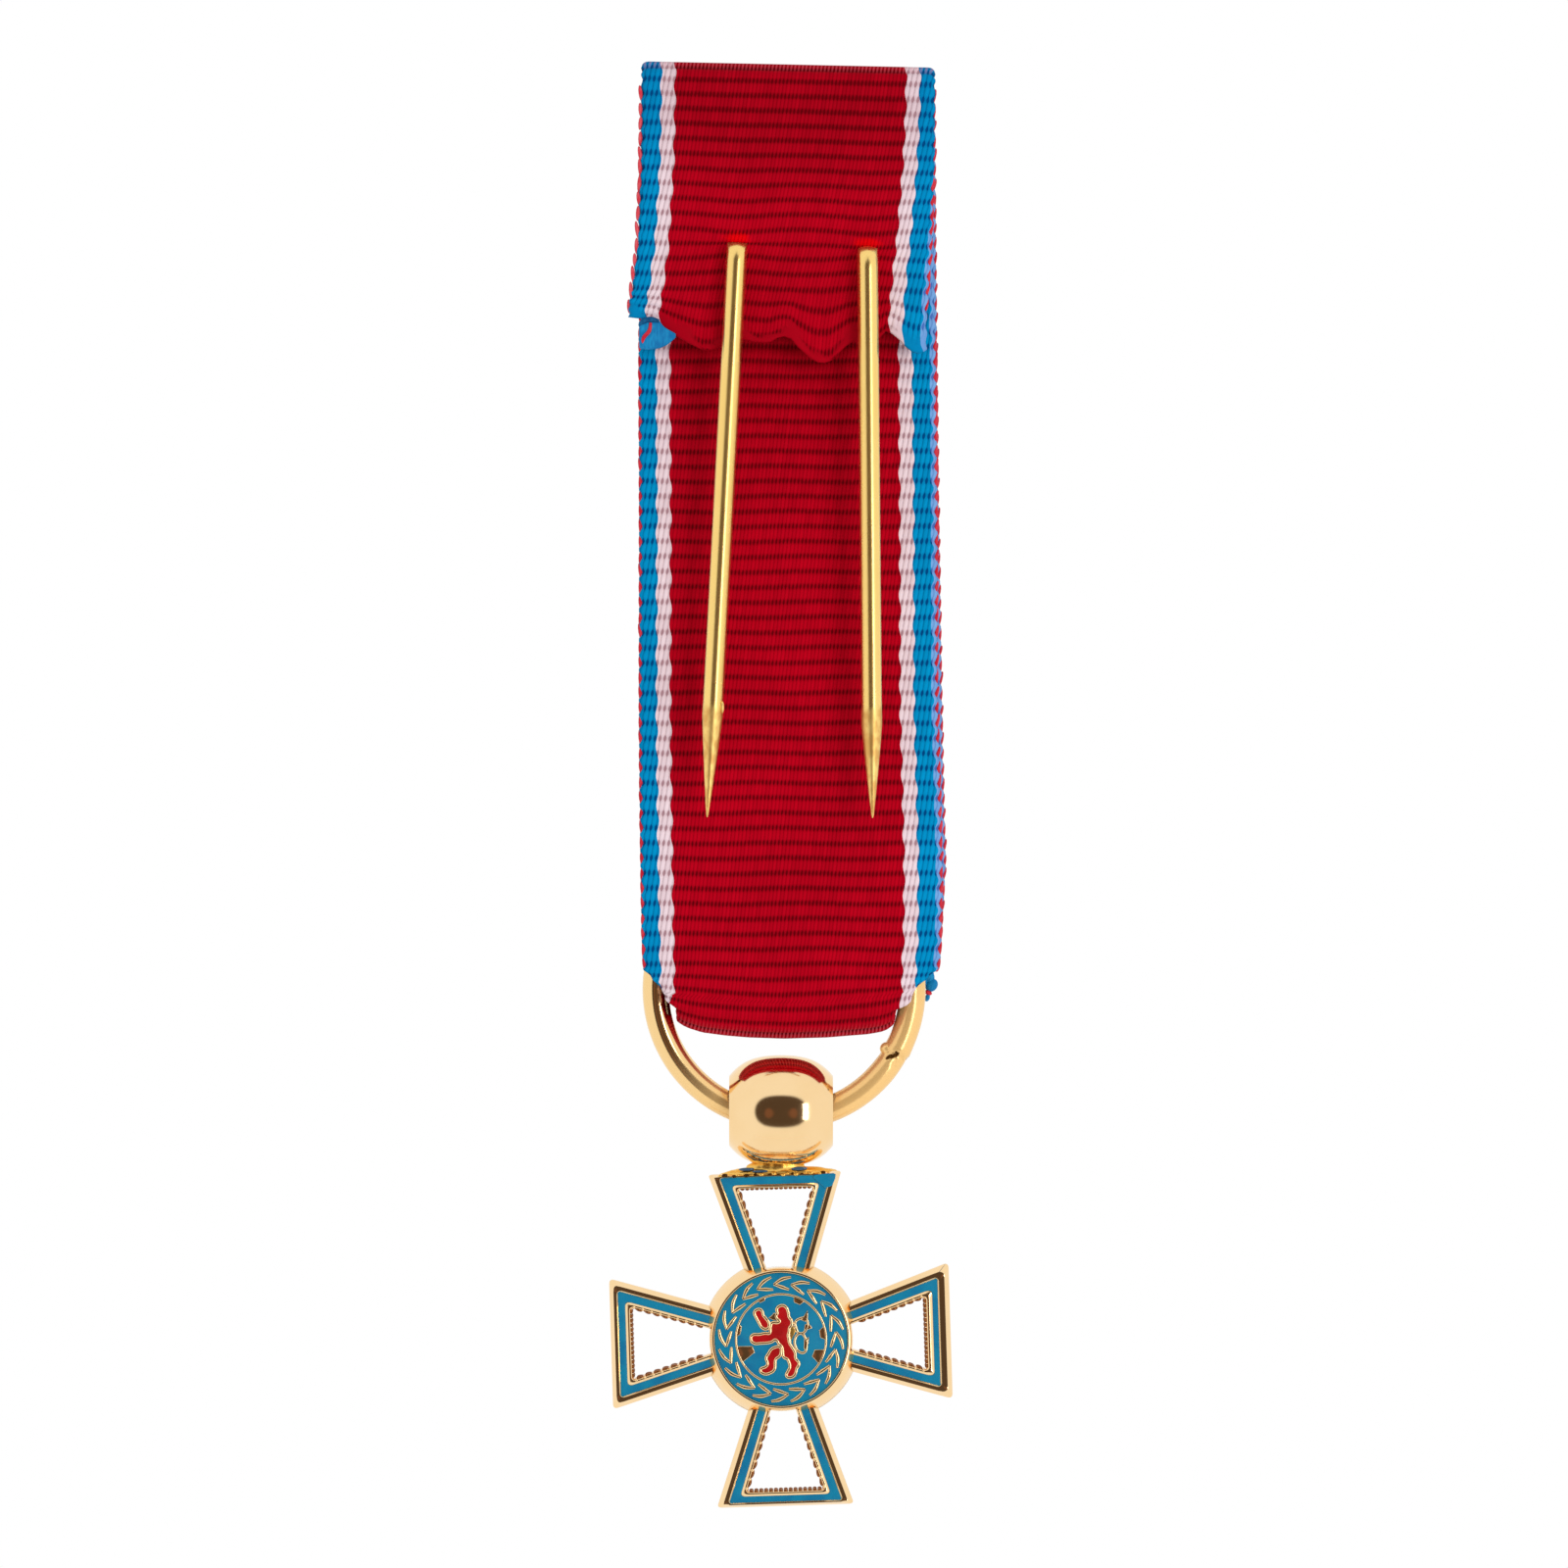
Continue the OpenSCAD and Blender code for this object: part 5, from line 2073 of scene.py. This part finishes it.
    def _solder(self) -> list[Piece]:
        """Model the solder between the barrel and the top arm: a smooth saddle and a row of small lumps.

        Returns:
            The lumps of solder.
        """
        solder = self.finishes.solder
        lumps = [self._lump(x, up, self.saddle_height, size, 5, solder) for x, up, *size in self.saddles]
        for k in range(self.lumps):
            aside, larger, above = (size * math.sin(k * rate) for size, rate in self.lump_waves)
            x = self.lump_from + self.lump_pitch * k + aside
            half = self.lump_size + larger
            shade = self.finishes.soot if k % 5 in (1, 3) else solder
            size = (half * 1.4, half, half * 0.8)
            lumps.append(self._lump(x, self.lump_up + above, self.lump_height, size, 2, shade))
        return lumps

    def _lump(self, x: float, up: float, height: float, size: Sequence[float], detail: int,
              material: Material) -> Piece:
        """Model one uneven lump on the top arm.

        Args:
            x: Place across, in mm from the middle of the cross.
            up: Height above the middle.
            height: Height over the middle plane.
            size: Half sizes across, in depth and up.
            detail: How often the ball it starts from is divided.
            material: Its finish.

        Returns:
            The lump.
        """
        lump = ball("solder", self.layout.on_cross(x, up, height), size, detail)
        if detail > 3:
            clouds = bpy.data.textures.new("uneven", "CLOUDS")
            clouds.noise_scale = 0.7 * MM
            modify(lump, "DISPLACE", texture=clouds, strength=0.16 * MM)
        lump.data.transform(self.layout.turn(self.layout.lean))
        return dress(lump, material)

    def _arm_enamels(self, side: Side, prefix: str) -> None:
        """Fill the channels of one face.

        Args:
            side: The face.
            prefix: First part of the nodes' names.
        """
        inner = self._rounded(self.rim + self.channel - self.fill_inner, self.fill_corner)
        trough = [*self._outline(self.rim - self.fill_outer), *inner[::-1]]
        first = plate("fill", [trough], self.fill_low, self.fill_high, self.fill_round, self.layout, side)
        for k, name in enumerate(("top", "left", "bottom", "right")):
            piece = dress(self._placed(first, f"{prefix}_{name}_fill", k), self.finishes.blue)
            if k == 0 and side is Side.PIN:
                piece = joined([piece, *self._spills()], piece.name)
            fasten(piece, Body.DROP, f"{prefix}_{name}")
        bpy.data.objects.remove(first)

    def _spills(self) -> list[Piece]:
        """Model the enamel that ran over the top arm's corner and into the solder.

        Returns:
            The spilt enamel.
        """
        shape = [(1.9, 8.2), (1.95, 8.33), (2.5, 8.38), (2.95, 8.4), (3.06, 8.33), (3.02, 8.1), (2.85, 7.75),
                 (2.5, 7.65)]
        spills = [plate("spill", [shape], 0.6, 0.768, 0.02, self.layout)]
        # Columns: across, up, height, then half sizes across, in depth and up
        rows = ((-1.5, 8.72, 0.5, 0.4, 0.1, 0.09), (-0.8, 8.6, 0.58, 0.42, 0.1, 0.07),
                (1.2, 8.68, 0.55, 0.42, 0.1, 0.1))
        for x, up, height, *size in rows:
            spill = ball("spill", self.layout.on_cross(x, up, height), size, (20, 12))
            spills.append(dress(spill, self.finishes.stain))
        dress(spills[0], self.finishes.blue)
        for spill in spills:
            spill.data.transform(self.layout.turn(self.layout.lean))
        return spills

    def _boss_enamels(self) -> None:
        """Fill the recess round the relief, and the lion and tail themselves."""
        ring, inner, disc = ([self._polar(radius, 7.5 * k) for k in range(48)] for radius in
                             (self.recess_r - 0.01, self.circle_r + 0.02, self.circle_r - 0.02))
        # Columns: piece, node, outlines, height above the blue enamel's top
        rows = [("wreath", "enamel_wreath", [ring, inner], 0.0), ("field", "enamel_field", [disc], 0.0)]
        for name, cell in (("lion", LION), ("lion_forepaw", FOREPAW), ("lion_hind_leg", HIND_LEG)):
            rows.append((name, f"enamel_{name}", [grown(cell, 0.02)], 0.012))
        for name, cell in (("tail_upper", UPPER_LOOP), ("tail_lower", LOWER_LOOP)):
            rows.append((name, f"enamel_{name}", [grown(cell, 0.02)], 0.008))
        rows.append(("front", "front_enamel_disc", [ring], 0.0))
        for name, node, outlines, rise in rows:
            shade = "red" if name.startswith("lion") else "blue"
            side = Side.FRONT if name == "front" else Side.PIN
            top = self.enamel_top + rise
            fill = plate(f"{name}_fill", outlines, self.floor, top, 0.02, self.layout, side, True)
            fasten(dress(fill, getattr(self.finishes, shade)), Body.DROP, node)


# Lion rampant facing left. Columns: place to the right and height, from the middle of the boss
LION = [(-0.16, 1.5), (0.02, 1.66), (0.2, 1.6), (0.31, 1.36), (0.35, 1.12), (0.48, 0.92), (0.48, 0.76),
        (0.37, 0.6), (0.35, 0.4), (0.3, 0.22), (0.33, 0.02), (0.37, -0.2), (0.5, -0.42), (0.66, -0.7),
        (0.68, -0.98), (0.85, -1.24), (0.75, -1.47), (0.66, -1.76), (0.54, -1.87), (0.36, -1.84),
        (0.42, -1.62), (0.51, -1.44), (0.48, -1.2), (0.36, -0.97), (0.2, -0.88), (0.14, -0.6),
        (0.1, -0.36), (-0.04, -0.22), (-0.18, -0.02), (-0.32, 0.04), (-0.48, -0.07), (-0.68, -0.12),
        (-0.98, -0.14), (-1.38, -0.13), (-1.47, -0.01), (-1.43, 0.15), (-1.1, 0.19), (-0.8, 0.25),
        (-0.58, 0.24), (-0.5, 0.34), (-0.48, 0.6), (-0.42, 0.78), (-0.16, 0.79), (0.03, 0.93),
        (-0.12, 1.05), (-0.19, 1.2), (-0.12, 1.33)]
FOREPAW = [(-0.7, 0.86), (-0.68, 0.68), (-0.74, 0.6), (-0.9, 0.62), (-1.09, 0.9), (-1.22, 1.14),
           (-1.29, 1.36), (-1.13, 1.47), (-1.02, 1.4), (-0.96, 1.2), (-0.82, 1.02)]
HIND_LEG = [(-0.1, -0.46), (-0.06, -0.66), (-0.14, -0.84), (-0.32, -0.98), (-0.36, -1.24), (-0.38, -1.47),
            (-0.5, -1.62), (-0.92, -1.67), (-0.97, -1.57), (-0.72, -1.43), (-0.62, -1.24),
            (-0.7, -0.98), (-0.58, -0.74), (-0.46, -0.56), (-0.3, -0.47)]
JAW = [(-0.22, 1.3), (-0.24, 1.06), (-0.14, 0.94), (-0.4, 0.98), (-0.66, 1.1), (-0.5, 1.2), (-0.36, 1.36)]
# The tail: a stem, two loops one above the other, and three tufts
TAIL_STEM = [(0.5, -0.16), (0.42, 0.12), (0.44, 0.54), (0.6, 0.76), (0.78, 0.44), (0.98, 0.3)]
UPPER_LOOP = [(0.98, 0.36), (0.8, 0.66), (0.78, 0.86), (1.0, 1.02), (1.22, 1.02), (1.28, 0.62)]
LOWER_LOOP = [(0.98, 0.24), (1.22, 0.0), (1.26, -0.34), (1.16, -0.62), (0.96, -0.6), (0.78, -0.34),
              (0.76, -0.02)]
TUFTS = [[(1.02, 0.98), (1.16, 1.18), (1.36, 1.5), (1.38, 1.1), (1.26, 0.9)],
         [(1.22, 0.76), (1.44, 0.78), (1.6, 0.58), (1.4, 0.5), (1.18, 0.5)],
         [(1.18, 0.0), (1.42, 0.12), (1.4, -0.2), (1.3, -0.52), (1.16, -0.5)]]
# Small gold patches against the thin circle. Columns: angle, span, depth
PATCHES = [(-26, 6, 0.16), (24, 8, 0.3), (-78, 9, 0.2), (82, 9, 0.3), (-110, 11, 0.8), (113, 10, 0.5)]


def grown(outline: Sequence[Point2], distance: float) -> list[Point2]:
    """Move a closed clockwise outline outwards.

    Args:
        outline: Its points.
        distance: How far, in mm. A negative distance moves it inwards.

    Returns:
        The moved points.
    """
    moved = []
    count = len(outline)
    for i, point in enumerate(outline):
        here = Vector(point)
        before = (here - Vector(outline[i - 1])).normalized()
        after = (Vector(outline[(i + 1) % count]) - here).normalized()
        first = Vector((-before.y, before.x))
        second = Vector((-after.y, after.x))
        middle = (first + second).normalized()
        spot = here + middle * distance / max(middle.dot(first), 0.6)
        moved.append((spot.x, spot.y))
    return moved


@dataclass
class Studio:
    """Pale surroundings, soft light and the camera square to the pin side."""

    # Width of the view and its middle, across and up, in mm
    view_width: float = 80.0
    middle: Point2 = (-0.15, -27.4)
    # In metres and mm
    distance: float = 0.6
    sensor: float = 36.0
    # Shades of the surround: seen by the medal, as soft light, the dim opening and the hands
    surround: float = 0.96
    soft_light: float = 0.66
    dim: Colour = (0.085, 0.058, 0.042)
    hands: Colour = (0.19, 0.09, 0.055)

    def build(self) -> None:
        """Make floor, light, world and camera."""
        self._floor()
        self._world()
        key = self._lamp("key_light", Vector((0.2, -0.39, 0.02)), (0.15, 0.24), 0.65)
        key.visible_glossy = False
        spark = self._lamp("window_light", Vector((0.21, -0.364, -0.044)), (0.07, 0.24), 0.3)
        spark.visible_diffuse = False
        self._camera()
        bpy.context.scene.view_settings.view_transform = "Standard"

    def _floor(self) -> None:
        """Lay a plain pale floor far below the medal."""
        bpy.ops.mesh.primitive_plane_add(size=1.2, location=(0.0, 0.0, -1.0))
        floor = bpy.context.object
        floor.name = "floor"
        shader = Shader("pale_floor")
        shader.link("Base Color", shader.mix(shader.noise(6.0) * 0.3, (0.86, 0.86, 0.86), (0.8, 0.8, 0.81)))
        shader.fix(Roughness=0.9, Emission_Color=(1.0, 1.0, 1.0, 1.0), Emission_Strength=0.36)
        dress(floor, shader.material)

    def _world(self) -> None:
        """Make a white surround with a dim opening, where the camera and the hands that hold it stand."""
        world = bpy.data.worlds.new("white_tent")
        bpy.context.scene.world = world
        world.use_nodes = True
        tree = Tree(world.node_tree)
        across, away, up = tree.split(tree.place("Generated"))
        wide = across / 0.53
        tall = up / 0.545
        opening = (1 - (wide * wide + tall * tall).eased(0.85, 1.2)) * (away * -1).above(0.0)
        beside = (abs(across) - 0.19) / 0.09
        level = (up + 0.06) / 0.2
        hands = 1 - (beside * beside + level * level).eased(0.3, 1.2)
        dim = tree.mix(hands, self.dim, self.hands)
        seen = tree.mix(opening, (self.surround,) * 3, dim)
        path = tree.node("ShaderNodeLightPath", {}, {})
        soft = tree.mix(path.outputs["Is Diffuse Ray"], seen, (self.soft_light,) * 3)
        plain = tree.mix(path.outputs["Is Camera Ray"], soft, (1.0, 1.0, 1.0))
        background = tree.node("ShaderNodeBackground", {}, {"Color": plain})
        tree.node("ShaderNodeOutputWorld", {}, {0: background.outputs[0]})

    def _lamp(self, name: str, place: Vector, size: Point2, power: float) -> Piece:
        """Add a soft rectangular light that faces the medal.

        Args:
            name: Name of the light.
            place: Its place in metres.
            size: Its width and height in metres.
            power: Its power in watts.

        Returns:
            The light.
        """
        light = bpy.data.lights.new(name, "AREA")
        light.shape = "RECTANGLE"
        light.size, light.size_y = size
        light.energy = power
        lamp = added(name, light)
        target = Vector((0.0, 0.0, self.middle[1] * MM))
        lamp.location = place
        lamp.rotation_euler = (target - place).to_track_quat("-Z", "Y").to_euler()
        return lamp

    def _camera(self) -> None:
        """Stand the camera square to the pin side with a long lens."""
        data = bpy.data.cameras.new("camera")
        data.sensor_width = self.sensor
        data.lens = self.sensor * self.distance / (self.view_width * MM)
        data.clip_start = 0.01
        camera = added("camera", data)
        camera.location = (self.middle[0] * MM, -self.distance + 1.5 * MM, self.middle[1] * MM)
        camera.rotation_euler = (math.radians(90), 0.0, 0.0)
        bpy.context.scene.camera = camera


def main() -> None:
    """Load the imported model, dress it in order and set up the studio."""
    logging.basicConfig(level=logging.INFO)
    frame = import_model()
    layout = Layout.from_frame(frame)
    finishes = Finishes()
    Studio().build()
    Ribbon(layout, finishes).build()
    PinFitting(layout, finishes).build()
    SuspensionRing(layout, finishes).build()
    Cross(layout, finishes).build()
    deselect()


if __name__ == "__main__":
    main()
